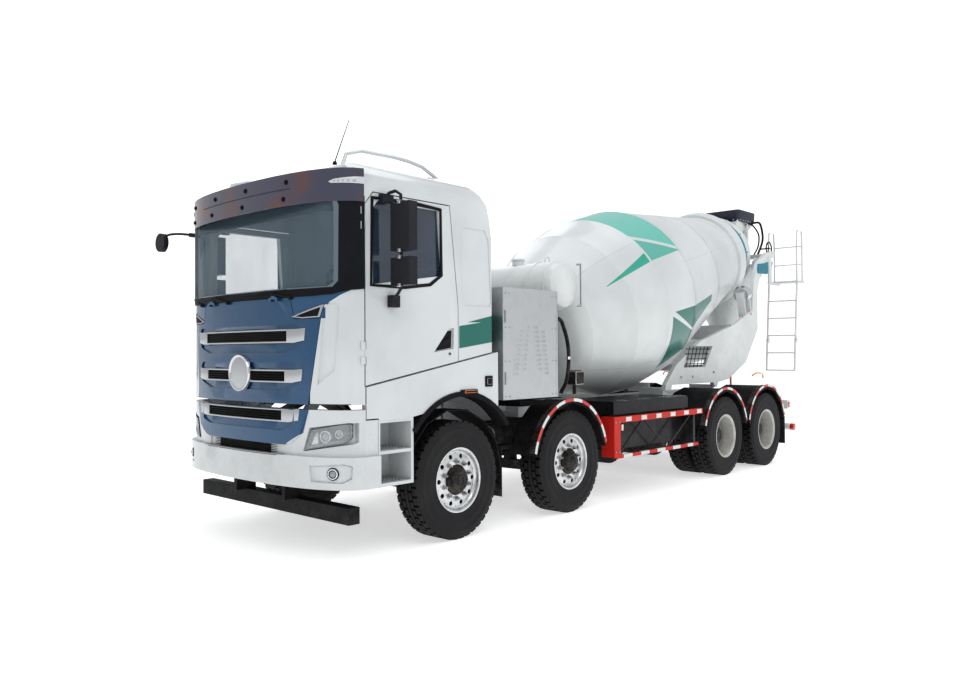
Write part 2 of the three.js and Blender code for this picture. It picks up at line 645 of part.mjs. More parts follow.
function rearUnderrunBar() {
  const bar = rod([-1210, 7850, 500], [1210, 7850, 500], 52, 12);
  const arms = boxPair(350, 420, RAIL_REAR_Y + SEAT_GAP, 7850, 455, 545);
  const posts = boxPair(350, 420, RAIL_REAR_Y + SEAT_GAP, 7700, 455, 930);
  const carrier = boxPair(400, 1190, 7640, 7690, 850, 910);
  const lamps = boxPair(860, 1200, 7600, 7700, 800, 930);
  return join(bar, arms, posts, carrier, lamps);
}

function driveMotor() {
  const block = box(-RAIL_INNER_X + SEAT_GAP, RAIL_INNER_X - SEAT_GAP, 750, 1600, 600, RAIL_TOP - 5);
  const gearbox = box(-200, 200, 1550, 2050, 620, 880);
  const shaft = rod([0, 2000, 665], [0, 5190, 590], 50, 10);
  return join(block, gearbox, shaft);
}

// A dropped front axle beam with its leaf springs and hangers.
function frontAxle(y) {
  const half = [[KINGPIN_X, 500], [KINGPIN_X - 90, 500], [KINGPIN_X - 300, 400], [0, 390],
    [0, 490], [KINGPIN_X - 330, 500], [KINGPIN_X - 120, 580], [KINGPIN_X, 580]];
  const beam = alongY(half, y - 50, y + 50);
  const boss = rod([KINGPIN_X, y, 490], [KINGPIN_X, y, 590], 55, 8);
  const hole = rod([KINGPIN_X, y, 400], [KINGPIN_X, y, 700], 22, 8);
  const reach = 620;
  const spring = alongX([
    [y - reach, 640], [y - 300, 560], [y, 540], [y + 300, 560], [y + reach, 640],
    [y + reach, 665], [y + 300, 610], [y, 600], [y - 300, 610], [y - reach, 665],
  ], RAIL_INNER_X + 5, RAIL_OUTER_X - 5);
  const pad = box(RAIL_INNER_X, RAIL_OUTER_X, y - 70, y + 70, 470, 560);
  const hangers = [-1, 1].map((end) => box(RAIL_INNER_X, RAIL_OUTER_X,
    y + end * reach - 35, y + end * reach + 35, 625, RAIL_BOTTOM - SEAT_GAP));
  const side = join(beam, boss, spring, pad, hangers);
  return cut(join(side, mirrored(side)), hole, mirrored(hole));
}

// The left knuckle: two ears round the beam's boss, the kingpin and the spindle.
function knuckle(y) {
  const ear = (z0, z1) => rod([KINGPIN_X, y, z0], [KINGPIN_X, y, z1], 50, 8);
  const low = ear(440, 490 - SEAT_GAP);
  const high = ear(590 + SEAT_GAP, 640);
  const pin = rod([KINGPIN_X, y, 445], [KINGPIN_X, y, 635], 20, 8);
  const web = box(KINGPIN_X + 62, KINGPIN_X + 84, y - 50, y + 50, 440, 640);
  const bridges = [box(KINGPIN_X, KINGPIN_X + 84, y - 45, y + 45, 440, 489),
    box(KINGPIN_X, KINGPIN_X + 84, y - 45, y + 45, 591, 640)];
  const spindle = rod([KINGPIN_X + 80, y, TYRE_RADIUS], [STEER_WHEEL_X + 100, y, TYRE_RADIUS], SPINDLE_RADIUS, 12);
  return join(low, high, pin, web, bridges, spindle);
}

// ---------- wheels: turned about X, a flat of the many-sided tyre on the ground ----------

const TYRE_CORNER = TYRE_RADIUS / Math.cos(Math.PI / WHEEL_SIDES);
const HALF_TYRE = TYRE_WIDTH / 2;
const FLAT_DOWN = Math.PI / WHEEL_SIDES;

// A turned solid laid along X; positive heights point outwards on the left side.
function wheelSolid(profile, x, y) {
  const geometry = new THREE.LatheGeometry(
    profile.map(([r, h]) => new THREE.Vector2(r, h)), WHEEL_SIDES, FLAT_DOWN);
  return solid(geometry.rotateZ(-Math.PI / 2).rotateX(0).translate(x, y, TYRE_RADIUS));
}

function tyreProfile() {
  const bead = RIM_FLANGE_RADIUS + 0.6;
  return ring([
    [bead, -122], [430, -HALF_TYRE], [TYRE_CORNER, -110],
    [TYRE_CORNER, 110], [430, HALF_TYRE], [bead, 122],
    [bead, 100], [500, 108], [500, -108], [bead, -100],
  ]);
}

function rimProfile() {
  return [
    [0, 152], [64, 150], [80, 108], [225, 98], [256, 78], [268, 118], [RIM_FLANGE_RADIUS, 118],
    [RIM_FLANGE_RADIUS, -118], [270, -118], [262, 30], [200, 20], [200, -40],
    [SPINDLE_RADIUS + 1.2, -40], [SPINDLE_RADIUS + 1.2, 101], [0, 101],
  ];
}

function twinProfile() {
  const c = TWIN_SPACING / 2;
  const flange = RIM_FLANGE_RADIUS;
  const tyre = (middle, side) => {
    const points = [[430, -HALF_TYRE], [TYRE_CORNER, -108], [TYRE_CORNER, 108], [430, HALF_TYRE]];
    return points.map(([r, h]) => [r, middle - side * h]);
  };
  return [
    [0, 205], [82, 200], [84, 40], [268, 34], [flange - 20, c + 118], [flange, c + 120],
    ...tyre(c, 1), ...tyre(-c, 1),
    [flange, -c - 120], [flange - 20, -c - 118], [270, -50], [212, -50], [212, -200],
    [REAR_SPINDLE_RADIUS + 2, -200], [REAR_SPINDLE_RADIUS + 2, -10], [0, -10],
  ];
}

// Both driven axles on their trunnion springs.
function rearBogie() {
  const axles = AXLE_Y.slice(2).flatMap((y) => [
    rod([-TWIN_X + 205, y, TYRE_RADIUS], [TWIN_X - 205, y, TYRE_RADIUS], 85, 12),
    rod([-TWIN_X + 15, y, TYRE_RADIUS], [TWIN_X - 15, y, TYRE_RADIUS], REAR_SPINDLE_RADIUS, 12),
    solid(new THREE.SphereGeometry(205, 8, 5).translate(0, y, TYRE_RADIUS)),
  ]);
  const middle = (AXLE_Y[2] + AXLE_Y[3]) / 2;
  const reach = (AXLE_Y[3] - AXLE_Y[2]) / 2;
  const pack = alongX([
    [middle - reach - 60, 600], [middle - reach + 60, 600], [middle, 520], [middle + reach - 60, 600],
    [middle + reach + 60, 600], [middle + reach + 60, 635], [middle, 640], [middle - reach - 60, 635],
  ], RAIL_OUTER_X + 20, RAIL_OUTER_X + 100);
  const saddle = box(RAIL_INNER_X, RAIL_OUTER_X + 110, middle - 100, middle + 100, 540, RAIL_BOTTOM - SEAT_GAP);
  const tube = rod([-RAIL_OUTER_X, middle, 590], [RAIL_OUTER_X, middle, 590], 60, 12);
  return join(axles, pack, mirrored(pack), saddle, mirrored(saddle), tube);
}

// ---------- mudguards ----------

const GUARD_RADIUS = 640;

// A bent sheet over one wheel, between two angles from the rear.
function arch(y, from, to, x0, x1, radius = GUARD_RADIUS, thick = 12) {
  const steps = 6;
  const at = (r) => (_, i) => {
    const angle = THREE.MathUtils.degToRad(from + ((to - from) * i) / steps);
    return [y + r * Math.cos(angle), TYRE_RADIUS + r * Math.sin(angle)];
  };
  const inner = Array.from({ length: steps + 1 }, at(radius));
  const outer = Array.from({ length: steps + 1 }, at(radius + thick));
  return alongX([...inner, ...outer.reverse()], x0, x1);
}

function steerMudguards() {
  const rail = RAIL_OUTER_X + SEAT_GAP;
  return join(
    arch(AXLE_Y[0], 2, 150, 890, 1180),
    box(890, 1180, GUARD_RADIUS, GUARD_RADIUS + 12, 430, 580),
    box(rail, 900, GUARD_RADIUS, GUARD_RADIUS + 40, 800, 840),
    box(860, 900, GUARD_RADIUS - 20, GUARD_RADIUS + 40, 560, 840),
    box(rail, 900, -560, -520, 880, 920),
    arch(AXLE_Y[1], 10, 170, 890, 1240),
    arch(AXLE_Y[1], 10, 170, 1228, 1240, 622, 30),
    box(rail, 900, AXLE_Y[1] - GUARD_RADIUS - 30, AXLE_Y[1] - GUARD_RADIUS + 40, 700, 740),
    box(rail, 900, AXLE_Y[1] + GUARD_RADIUS - 40, AXLE_Y[1] + GUARD_RADIUS + 30, 700, 740),
    box(860, 900, GUARD_RADIUS, AXLE_Y[1] - GUARD_RADIUS + 14, 700, 740));
}

function rearMudguards() {
  const rail = RAIL_OUTER_X + SEAT_GAP;
  const middle = (AXLE_Y[2] + AXLE_Y[3]) / 2;
  const arches = [AXLE_Y[2], AXLE_Y[3]].flatMap((y) => [
    arch(y, 12, 168, 600, 1240, 640), arch(y, 12, 168, 1228, 1240, 612, 38)]);
  return join(
    arches,
    box(600, 1240, middle - 60, middle + 60, 700, 720),
    box(rail, 620, middle - 30, middle + 30, 700, 740),
    box(rail, 620, AXLE_Y[2] - 670, AXLE_Y[2] - 600, 720, 760),
    box(rail, 620, AXLE_Y[3] + 600, AXLE_Y[3] + 670, 720, 760),
    box(600, 1240, AXLE_Y[3] + 630, AXLE_Y[3] + 642, 280, 700));
}

// ---------- side boxes and guards ----------

function sideBox() {
  const rail = RAIL_OUTER_X + SEAT_GAP;
  return join(
    box(rail, 1180, 2640, 4400, RAIL_TOP + 20, RAIL_TOP + 170),
    box(rail, 1080, 2700, 4500, 560, RAIL_TOP + 30));
}

function sideGuard() {
  const face = 1070;
  const brace = (y0, z0, y1, z1) => rod([1200, y0, z0], [1200, y1, z1], 14, 6);
  return join(
    box(face, 1240, 2560, 2690, 500, 960),
    box(1210, 1240, 2600, 4690, 890, 960),
    box(1205, 1240, 2600, 4560, 485, 525),
    box(face, 1235, 4430, 4480, 500, 940),
    brace(2690, 510, 3250, 910), brace(3250, 910, 3800, 510), brace(3800, 510, 4440, 910));
}

// ---------- cabinet and tank ----------

function batteryCabinet() {
  const { front, rear, bottom, top, halfWidth } = CABINET;
  const body = box(-halfWidth, halfWidth, front, rear, bottom, top);
  const feet = boxPair(RAIL_INNER_X, RAIL_OUTER_X, front + 20, rear - 20, RAIL_TOP + SEAT_GAP, bottom + 5);
  return join(body, feet);
}

function waterTank() {
  const { y, z, radius, halfLength } = TANK;
  const profile = [[0, -halfLength], [0.6 * radius, -halfLength + 25], [0.92 * radius, -halfLength + 80],
    [radius, -halfLength + 150], [radius, halfLength - 150], [0.92 * radius, halfLength - 80],
    [0.6 * radius, halfLength - 25], [0, halfLength]];
  const geometry = new THREE.LatheGeometry(
    profile.map(([r, h]) => new THREE.Vector2(r, h)), 28).rotateZ(-Math.PI / 2);
  const feet = boxPair(300, 400, y - 100, y + 60, gearboxTop() + SEAT_GAP, z - radius + 80);
  return join(solid(geometry.translate(0, y, z)), feet);
}

// ---------- drum ----------

// Moves a piece from the drum's frame (x, up, along) to the truck.
function inDrumFrame(piece) {
  const s = Math.sin(DRUM_TILT);
  const c = Math.cos(DRUM_TILT);
  return piece.transform([1, 0, 0, 0, 0, -s, c, 0, 0, c, s, 0, 0, DRUM_Y, DRUM_Z, 1]);
}

function drumWallProfile() {
  return [
    [250, -HEAD_DEPTH], [430, -HEAD_DEPTH + 50], [720, -150], [DRUM_FRONT_RADIUS, 0],
    [1090, 620], [DRUM_RADIUS, 1200], [DRUM_RADIUS, 1900], [730, 4300], [730, 4330],
    [RING_RADIUS, 4360], [RING_RADIUS, 4540], [COLLAR_RADIUS + 40, 4570], [COLLAR_RADIUS, 4700], [COLLAR_RADIUS, DRUM_END_S],
  ];
}

// A drum-frame lathe has its axis along the third axis, before it is moved.
function drum() {
  const outer = drumWallProfile();
  const inner = [
    [COLLAR_RADIUS - DRUM_WALL, DRUM_END_S], [COLLAR_RADIUS - DRUM_WALL, 4560], [730 - DRUM_WALL, 4290],
    [DRUM_RADIUS - DRUM_WALL, 1890], [DRUM_RADIUS - DRUM_WALL, 1205], [1090 - DRUM_WALL, 625],
    [DRUM_FRONT_RADIUS - DRUM_WALL, 8], [710, -135], [420, -HEAD_DEPTH + 65], [0, -HEAD_DEPTH + 15],
  ];
  return inDrumFrame(drumLathe([[0, -HEAD_DEPTH], ...outer, ...inner], 28));
}

function drumLathe(profile, sides) {
  const points = profile.map(([r, h]) => new THREE.Vector2(r, h));
  return solid(new THREE.LatheGeometry(points, sides).rotateX(Math.PI / 2));
}

const ROLLER_RADIUS = Math.hypot(ROLLER_X, ROLLER_DROP) - RING_RADIUS - 1;
const EAR_S = [RING_S - ROLLER_LENGTH / 2 - 20, RING_S + ROLLER_LENGTH / 2 + 20];

function drumRoller() {
  const half = ROLLER_LENGTH / 2;
  const bore = ROLLER_PIN + 0.8;
  const profile = ring([[bore, -half], [ROLLER_RADIUS, -half], [ROLLER_RADIUS, half], [bore, half]]);
  return inDrumFrame(drumLathe(profile, 24).translate([ROLLER_X, -ROLLER_DROP, RING_S]));
}

function rollerBracket() {
  const pin = rod([ROLLER_X, -ROLLER_DROP, EAR_S[0] - 15], [ROLLER_X, -ROLLER_DROP, EAR_S[1] + 15], ROLLER_PIN, 16);
  const ears = EAR_S.map((s) => box(ROLLER_X - 60, ROLLER_X + 60, -1010, -ROLLER_DROP + 45, s - 14, s + 14));
  return inDrumFrame(join(pin, ears));
}

// The pedestal that carries the gearbox under the water tank.
function gearboxTop() {
  return DRUM_Z + 110;
}

function drumGearbox() {
  const start = -HEAD_DEPTH - SEAT_GAP;
  const casing = inDrumFrame(drumLathe([
    [0, start], [240, start], [240, start - 60], [170, start - 80], [170, start - 420], [0, start - 420]], 20));
  const base = RAIL_TOP + SUBFRAME_DEPTH + SEAT_GAP;
  const plates = boxPair(200, 260, 1880, 2330, base, 1800);
  const wide = boxPair(240, RAIL_OUTER_X, 1880, 2330, base, base + 60);
  const wall = box(-260, 260, 1880, 1960, base, 1880);
  const saddle = box(-400, 400, 1900, 2090, 1780, gearboxTop());
  return join(casing, plates, wide, wall, saddle);
}

// ---------- rear support, funnel, hopper ----------

function supportOutline() {
  return [
    [4580, 1180], [4740, 1180], [4770, 1250], [6000, 1250], [6045, 1180], [6105, 1180], [6150, 1250],
    [6500, 1290], [7100, 1530], [7560, 2060], [7560, 2660], [7680, 2960], [7900, 3160], [8250, 3290],
    [8250, 3380], [7930, 3325], [7600, 3130], [7430, 2830], [7360, 2350], [7250, 2320], [6700, 2110],
    [5600, 1850], [4900, 1530], [4600, 1260],
  ];
}

function rearSupport() {
  const base = RAIL_TOP + SUBFRAME_DEPTH + SEAT_GAP;
  const plate = alongX(supportOutline(), SUPPORT_X, SUPPORT_X + SUPPORT_THICK);
  const opening = alongX([[5100, 1480], [5750, 1480], [5980, 1780], [5250, 1780]], 600, 800);
  const side = plate.subtract(opening);
  const feet = [...boxPair(RAIL_INNER_X, SUPPORT_X + 10, 4600, 4730, base, 1215),
    ...boxPair(RAIL_INNER_X, SUPPORT_X + 10, 6050, 6100, base, 1215)];
  const beams = [
    box(-SUPPORT_X - 10, SUPPORT_X + 10, 6780, 6860, 1900, 2060),
    box(-SUPPORT_X - 10, SUPPORT_X + 10, 6500, 6580, 1400, 1500),
    box(-SUPPORT_X - 10, SUPPORT_X + 10, 7440, 7520, 2020, 2140),
  ];
  const socket = [
    box(-110, 110, 7440, FUNNEL_Y + 80, SOCKET_TOP_Z - 80, SOCKET_TOP_Z),
    box(-110, 110, 7440, 7520, SOCKET_TOP_Z - 10, 2100),
  ];
  const bore = rod([0, FUNNEL_Y, SOCKET_TOP_Z - 80], [0, FUNNEL_Y, SOCKET_TOP_Z + 120], 31, 16);
  return cut(
    join(side, mirrored(side), feet, beams, socket, rollerBracket(), mirrored(rollerBracket())), bore);
}

// The half-open cone that gathers concrete under the drum's mouth.
function dischargeFunnel() {
  const top = SUPPORT_X - SEAT_GAP;
  const wall = 12;
  const profile = ring([[top, FUNNEL_TOP_Z], [top, FUNNEL_TOP_Z - 60], [FUNNEL_OUTLET, FUNNEL_BOTTOM_Z],
    [FUNNEL_OUTLET - wall, FUNNEL_BOTTOM_Z], [top - wall, FUNNEL_TOP_Z - 55], [top - wall, FUNNEL_TOP_Z]]);
  const cone = turned(profile, 28).translate([0, FUNNEL_Y, 0]);
  const sweep = inDrumFrame(drumLathe([[0, 3900], [RING_RADIUS + 30, 3900], [RING_RADIUS + 30, 4620],
    [COLLAR_RADIUS + 50, 4620], [COLLAR_RADIUS + 50, DRUM_END_S + 60], [0, DRUM_END_S + 60]], 32));
  return cut(cone, sweep);
}

// The charging hopper: a rim over a chute that leads into the drum's mouth.
function hopper() {
  const { halfWidth, front, rear, top, rimDepth } = HOPPER;
  const wall = 14;
  const rim = cut(
    box(-halfWidth, halfWidth, front, rear, top - rimDepth, top),
    box(-halfWidth + wall, halfWidth - wall, front + wall, rear - wall, top - rimDepth - 1, top + 1));
  const outer = bowl(0);
  const inner = bowl(wall);
  const legs = boxPair(halfWidth - 60, halfWidth - 10, FUNNEL_Y + 20, FUNNEL_Y + 80, FUNNEL_TOP_Z + 15, top - rimDepth + 20);
  const ties = boxPair(halfWidth - 60, SUPPORT_X - SEAT_GAP, FUNNEL_Y + 20, FUNNEL_Y + 80, FUNNEL_TOP_Z + 15, FUNNEL_TOP_Z + 85);
  return join(rim, outer.subtract(inner), legs, ties);
}

// The tapered part of the hopper, smaller by an inset on every side.
function bowl(inset) {
  const { halfWidth, front, rear, top, rimDepth } = HOPPER;
  const start = top - rimDepth + (inset ? 30 : 20);
  const profile = [[front + inset, start], [rear - inset, start],
    [7860 - inset, 3330 - inset], [7540 + inset, 3330 - inset]];
  const side = alongX(profile, -halfWidth, halfWidth);
  const across = alongY([[-halfWidth + inset, start], [halfWidth - inset, start],
    [170 - inset, 3330 - inset], [-170 + inset, 3330 - inset]], 7000, 9000);
  return side.intersect(across);
}

// ---------- chute ----------

function chuteSwivel() {
  const post = rod([0, FUNNEL_Y, SOCKET_TOP_Z - 90], [0, FUNNEL_Y, SOCKET_TOP_Z + 40], 30, 16);
  const collar = rod([0, FUNNEL_Y, SOCKET_TOP_Z + SEAT_GAP], [0, FUNNEL_Y, SOCKET_TOP_Z + 40], 44, 16);
  const yoke = box(-45, 45, FUNNEL_Y - 330, FUNNEL_Y + 330, SOCKET_TOP_Z + 20, SOCKET_TOP_Z + 60);
  const ears = [-1, 1].map((end) => box(
    -45, 45, FUNNEL_Y + end * 318 - 14, FUNNEL_Y + end * 318 + 14, SOCKET_TOP_Z + 30, CHUTE_AXIS_Z + 50));
  const pins = [-1, 1].map((end) => rod([0, FUNNEL_Y + end * 262, CHUTE_AXIS_Z], [0, FUNNEL_Y + end * 320, CHUTE_AXIS_Z], 18, 12));
  return join(post, collar, yoke, ears, pins);
}

// A half-round trough along -X, open on top, before it is tilted.
function trough(x0, x1, radius, wall) {
  const outline = (r) => Array.from({ length: 11 }, (_, i) => {
    const angle = Math.PI * (1 + i / 10);
    return [r * Math.cos(angle), r * Math.sin(angle)];
  });
  return alongX([...outline(radius), ...outline(radius - wall).reverse()], x0, x1);
}

const tilted = (piece, angle) => piece.translate([0, -FUNNEL_Y, -CHUTE_AXIS_Z])
  .rotate([0, THREE.MathUtils.radToDeg(-angle), 0]).translate([0, FUNNEL_Y, CHUTE_AXIS_Z]);

const CHUTE_FOLD_X = -CHUTE_LENGTH - 2; // the pins that the extension folds on

// From one distance to another off the chute's middle, on one side of it.
function across(end, near, far) {
  return end > 0 ? [FUNNEL_Y + near, FUNNEL_Y + far] : [FUNNEL_Y - far, FUNNEL_Y - near];
}

function swingChute() {
  const body = trough(-CHUTE_LENGTH, 200, CHUTE_RADIUS, 8).translate([0, FUNNEL_Y, CHUTE_AXIS_Z - 20]);
  const ears = [-1, 1].map((end) => box(-45, 45,
    FUNNEL_Y + Math.min(end * 232, end * 296), FUNNEL_Y + Math.max(end * 232, end * 296), CHUTE_AXIS_Z - 45, CHUTE_AXIS_Z + 45));
  const bores = rod([0, FUNNEL_Y - 400, CHUTE_AXIS_Z], [0, FUNNEL_Y + 400, CHUTE_AXIS_Z], 19.2, 12);
  const rim = CHUTE_AXIS_Z - 20;
  const lugs = [-1, 1].map((end) => join(
    box(-CHUTE_LENGTH - 16, -CHUTE_LENGTH + 34, ...across(end, CHUTE_RADIUS - 4, CHUTE_RADIUS + 10), rim - 50, rim + 10),
    rod([CHUTE_FOLD_X, FUNNEL_Y + end * (CHUTE_RADIUS + 5), rim], [CHUTE_FOLD_X, FUNNEL_Y + end * (CHUTE_RADIUS + 28), rim], 8, 12)));
  return tilted(cut(join(body, ears, lugs), bores), CHUTE_SLOPE);
}

function extensionChute() {
  const body = trough(-CHUTE_LENGTH + 40, -260, CHUTE_RADIUS, 8).mirror([0, 0, 1])
    .translate([0, FUNNEL_Y, CHUTE_AXIS_Z - 20 + SEAT_GAP]);
  const rim = CHUTE_AXIS_Z - 20;
  const lugs = [-1, 1].map((end) => join(
    box(-CHUTE_LENGTH - 16, -CHUTE_LENGTH + 90, ...across(end, CHUTE_RADIUS + 13, CHUTE_RADIUS + 23), rim - 14, rim + 40),
    box(-CHUTE_LENGTH + 55, -CHUTE_LENGTH + 90, ...across(end, CHUTE_RADIUS - 6, CHUTE_RADIUS + 20), rim + 14, rim + 40)));
  const bore = rod([CHUTE_FOLD_X, FUNNEL_Y - 300, rim], [CHUTE_FOLD_X, FUNNEL_Y + 300, rim], 9.2, 12);
  return tilted(cut(join(body, lugs), bore), CHUTE_SLOPE);
}

// ---------- ladder ----------

const LADDER_HINGE_BACK = 45; // how far the fold's pins stand behind the stiles

function ladderY(z) {
  const { foot, deck, y, lean } = LADDER;
  return y - (lean * (deck - z)) / (deck - foot);
}

function ladderRung(i) {
  const { inner, outer, foot, deck } = LADDER;
  const z = foot + 10 + (i * (deck - foot - 40)) / 5;
  return rod([inner, ladderY(z), z], [outer, ladderY(z), z], 13, 6);
}

// The ladder's lower section, which folds up behind the upper one.
function ladderFoot() {
  const { inner, outer, foot, split } = LADDER;
  const pinY = ladderY(split) + LADDER_HINGE_BACK;
  const stiles = [inner, outer].map((x) => rod([x, ladderY(foot), foot], [x, ladderY(split - 25), split - 25], 17));
  const ears = [inner, outer].flatMap((x) => [-1, 1].map((end) => box(
    Math.min(x + end * 8, x + end * 16), Math.max(x + end * 8, x + end * 16),
    ladderY(split) - 12, pinY + 12, split - 60, split + 12)));
  const bores = rod([inner - 30, pinY, split], [outer + 30, pinY, split], 8, 12);
  return cut(join(stiles, [0, 1].map(ladderRung), ears), bores);
}

function ladder() {
  const { inner, outer, deck, y, top, split } = LADDER;
  const at = ladderY;
  const stiles = [inner, outer].map((x) => rod([x, at(split + 25), split + 25], [x, y, deck], 17));
  const rungs = [2, 3, 4].map(ladderRung);
  const ears = [inner, outer].map((x) => join(
    box(x - 5, x + 5, at(split) - 12, at(split) + LADDER_HINGE_BACK + 12, split - 8, split + 60),
    rod([x - 18, at(split) + LADDER_HINGE_BACK, split], [x + 18, at(split) + LADDER_HINGE_BACK, split], 7, 12)));
  const platform = box(inner - 20, outer + 20, y - 20, y + 260, deck - 20, deck + 15);
  const loops = [inner, outer].map((x) => bentRod([
    [x, y, deck - 10], [x, y, deck + 500], [x, y + 20, top - 40], [x, y + 110, top],
    [x, y + 210, top - 40], [x, y + 230, deck + 500], [x, y + 230, deck - 10],
  ], 15, 9));
  const guards = [deck + 300, deck + 600].map((z) => rod([inner, y + 230, z], [outer, y + 230, z], 12, 6));
  const face = SUPPORT_X + SUPPORT_THICK + SEAT_GAP;
  const strut = box(face, face + 30, 7960, y + 20, deck - 60, deck - 15);
  const plate = box(face, face + 30, 7960, 8060, deck - 60, 3240);
  return join(stiles, rungs, ears, platform, loops, guards, strut, plate);
}

// ---------- the scene graph ----------

const truck = new THREE.Group();

const FINISH = {
  white: { color: 0xe9ebe8, roughness: 0.35, metalness: 0 },
  blue: { color: 0x4a6d8c, roughness: 0.35, metalness: 0.2 },
  black: { color: 0x1a1b1e, roughness: 0.6, metalness: 0 },
  rubber: { color: 0x17171a, roughness: 0.85, metalness: 0 },
  alloy: { color: 0xb9bcbe, roughness: 0.3, metalness: 0.9 },
  frame: { color: 0x1c1d20, roughness: 0.55, metalness: 0.3 },
  red: { color: 0xc3261f, roughness: 0.4, metalness: 0 },
  visor: { color: 0x3a2226, roughness: 0.15, metalness: 0 },
  glass: { color: 0x9fb6c4, roughness: 0.05, metalness: 0 },
  cloth: { color: 0x3b3c40, roughness: 0.9, metalness: 0 },
  sheet: { color: 0xb5b8ba, roughness: 0.45, metalness: 0.8 },
};

function add(name, piece, finish) {
  const mesh = new THREE.Mesh(geometryOf(piece), new THREE.MeshStandardMaterial(FINISH[finish]));
  mesh.name = name;
  truck.add(mesh);
}

function addPair(name, piece, finish) {
  add(`${name}_left`, piece, finish);
  add(`${name}_right`, mirrored(piece), finish);
}

add('chassis_frame', chassisFrame(), 'frame');
add('mixer_subframe', mixerSubframe(), 'frame');
add('drive_motor', driveMotor(), 'frame');
add('front_underrun_bar', frontUnderrunBar(), 'black');
add('rear_underrun_bar', rearUnderrunBar(), 'frame');
[0, 1].forEach((i) => {
  add(`front_axle_${i + 1}`, frontAxle(AXLE_Y[i]), 'frame');
  addPair(`knuckle_${i + 1}`, knuckle(AXLE_Y[i]), 'frame');
  addPair(`tyre_${i + 1}`, wheelSolid(tyreProfile(), STEER_WHEEL_X, AXLE_Y[i]), 'rubber');
  addPair(`rim_${i + 1}`, wheelSolid(rimProfile(), STEER_WHEEL_X, AXLE_Y[i]), 'alloy');
});
add('rear_bogie', rearBogie(), 'frame');
[2, 3].forEach((i) => addPair(`twin_wheel_${i + 1}`, wheelSolid(twinProfile(), TWIN_X, AXLE_Y[i]), 'rubber'));
addPair('steer_mudguards', steerMudguards(), 'black');
addPair('rear_mudguards', rearMudguards(), 'black');
addPair('side_box', join(sideBox(), sideGuard()), 'black');

add('cab_shell', cabShell(), 'white');
addPair('door', door(), 'white');
addPair('door_glass', doorGlass(), 'glass');
add('windscreen', windscreen(), 'glass');
add('front_flap', frontFlap(), 'blue');
add('sun_visor', sunVisor(), 'visor');
addPair('door_mirror', doorMirror(), 'black');
add('corner_mirror', cornerMirror(), 'black');
add('seats', seats(), 'cloth');
add('dashboard', dashboard(), 'black');
add('bumper', bumper(), 'white');
addPair('step_fender', stepFender(), 'white');

add('battery_cabinet', batteryCabinet(), 'sheet');
add('water_tank', waterTank(), 'white');
add('drum', drum(), 'white');
add('drum_gearbox', drumGearbox(), 'white');
add('rear_support', rearSupport(), 'white');
addPair('drum_roller', drumRoller(), 'white');
add('discharge_funnel', dischargeFunnel(), 'white');
add('hopper', hopper(), 'white');
add('chute_swivel', chuteSwivel(), 'white');
add('swing_chute', swingChute(), 'white');
add('extension_chute', extensionChute(), 'white');
add('ladder', ladder(), 'white');
add('ladder_foot', ladderFoot(), 'white');

// The box of the whole truck is centred on the origin.
const reach = new THREE.Box3().setFromObject(truck);
truck.position.y = -(reach.min.y + reach.max.y) / 2;
const root = new THREE.Group();
root.add(truck);

export default root;
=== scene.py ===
# %% [markdown]
# # A concrete mixer truck
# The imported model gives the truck's bodies, their joints and one plain solid for each sub-part. Here each solid
# gets its real surface: some are copied, cleaned and rounded, and others are replaced by a piece made in mesh code.
# Lengths are metres, +Z is up, the cab faces -Y and the truck's left side is +X.

# %% Load the frame
import json
import math

import bmesh
import bpy
from mathutils import Matrix, Vector


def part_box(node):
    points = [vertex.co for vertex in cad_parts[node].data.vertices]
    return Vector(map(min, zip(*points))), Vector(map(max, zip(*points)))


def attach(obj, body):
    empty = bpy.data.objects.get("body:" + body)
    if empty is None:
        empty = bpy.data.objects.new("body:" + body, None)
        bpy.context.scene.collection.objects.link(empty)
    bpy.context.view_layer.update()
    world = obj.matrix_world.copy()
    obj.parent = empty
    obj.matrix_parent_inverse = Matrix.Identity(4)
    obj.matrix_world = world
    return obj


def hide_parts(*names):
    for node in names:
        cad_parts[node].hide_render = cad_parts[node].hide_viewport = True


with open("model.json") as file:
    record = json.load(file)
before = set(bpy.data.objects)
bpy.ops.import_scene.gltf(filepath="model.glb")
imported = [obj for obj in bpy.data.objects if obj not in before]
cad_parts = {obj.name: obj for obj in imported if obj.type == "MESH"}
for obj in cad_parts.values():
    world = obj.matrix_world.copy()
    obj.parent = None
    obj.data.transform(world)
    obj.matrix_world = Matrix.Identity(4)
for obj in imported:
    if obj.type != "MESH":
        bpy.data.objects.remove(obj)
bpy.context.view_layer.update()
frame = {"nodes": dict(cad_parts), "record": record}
tyre_low, tyre_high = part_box("tyre_1_left")
AXLE = (tyre_low.y + tyre_high.y) / 2
HUB_Z = (tyre_high.z - tyre_low.z) / 2
print("nodes:", len(frame["nodes"]), "first axle at y =", round(AXLE, 4))

# %% [markdown]
# ## Camera
# A slightly wide lens stands at head height off the truck's left front corner. It comes first because it fixes
# what has to be fine and what may stay simple.

# %% Camera
YAW = math.radians(44.742)
camera_data = bpy.data.cameras.new("camera")
camera = bpy.data.objects.new("camera", camera_data)
bpy.context.scene.collection.objects.link(camera)
camera_data.sensor_width = 36
camera_data.lens = 30.75
camera_data.shift_x = 0.0496
camera_data.shift_y = -0.0094
look = Matrix.Rotation(YAW, 4, "Z") @ Matrix.Rotation(math.radians(90.867), 4, "X")
camera.matrix_world = Matrix.Translation((6.322, AXLE - 5.488, 1.695)) @ look @ Matrix.Rotation(
    math.radians(-0.266), 4, "Z")
bpy.context.scene.camera = camera
print("camera at", [round(v, 2) for v in camera.matrix_world.translation])

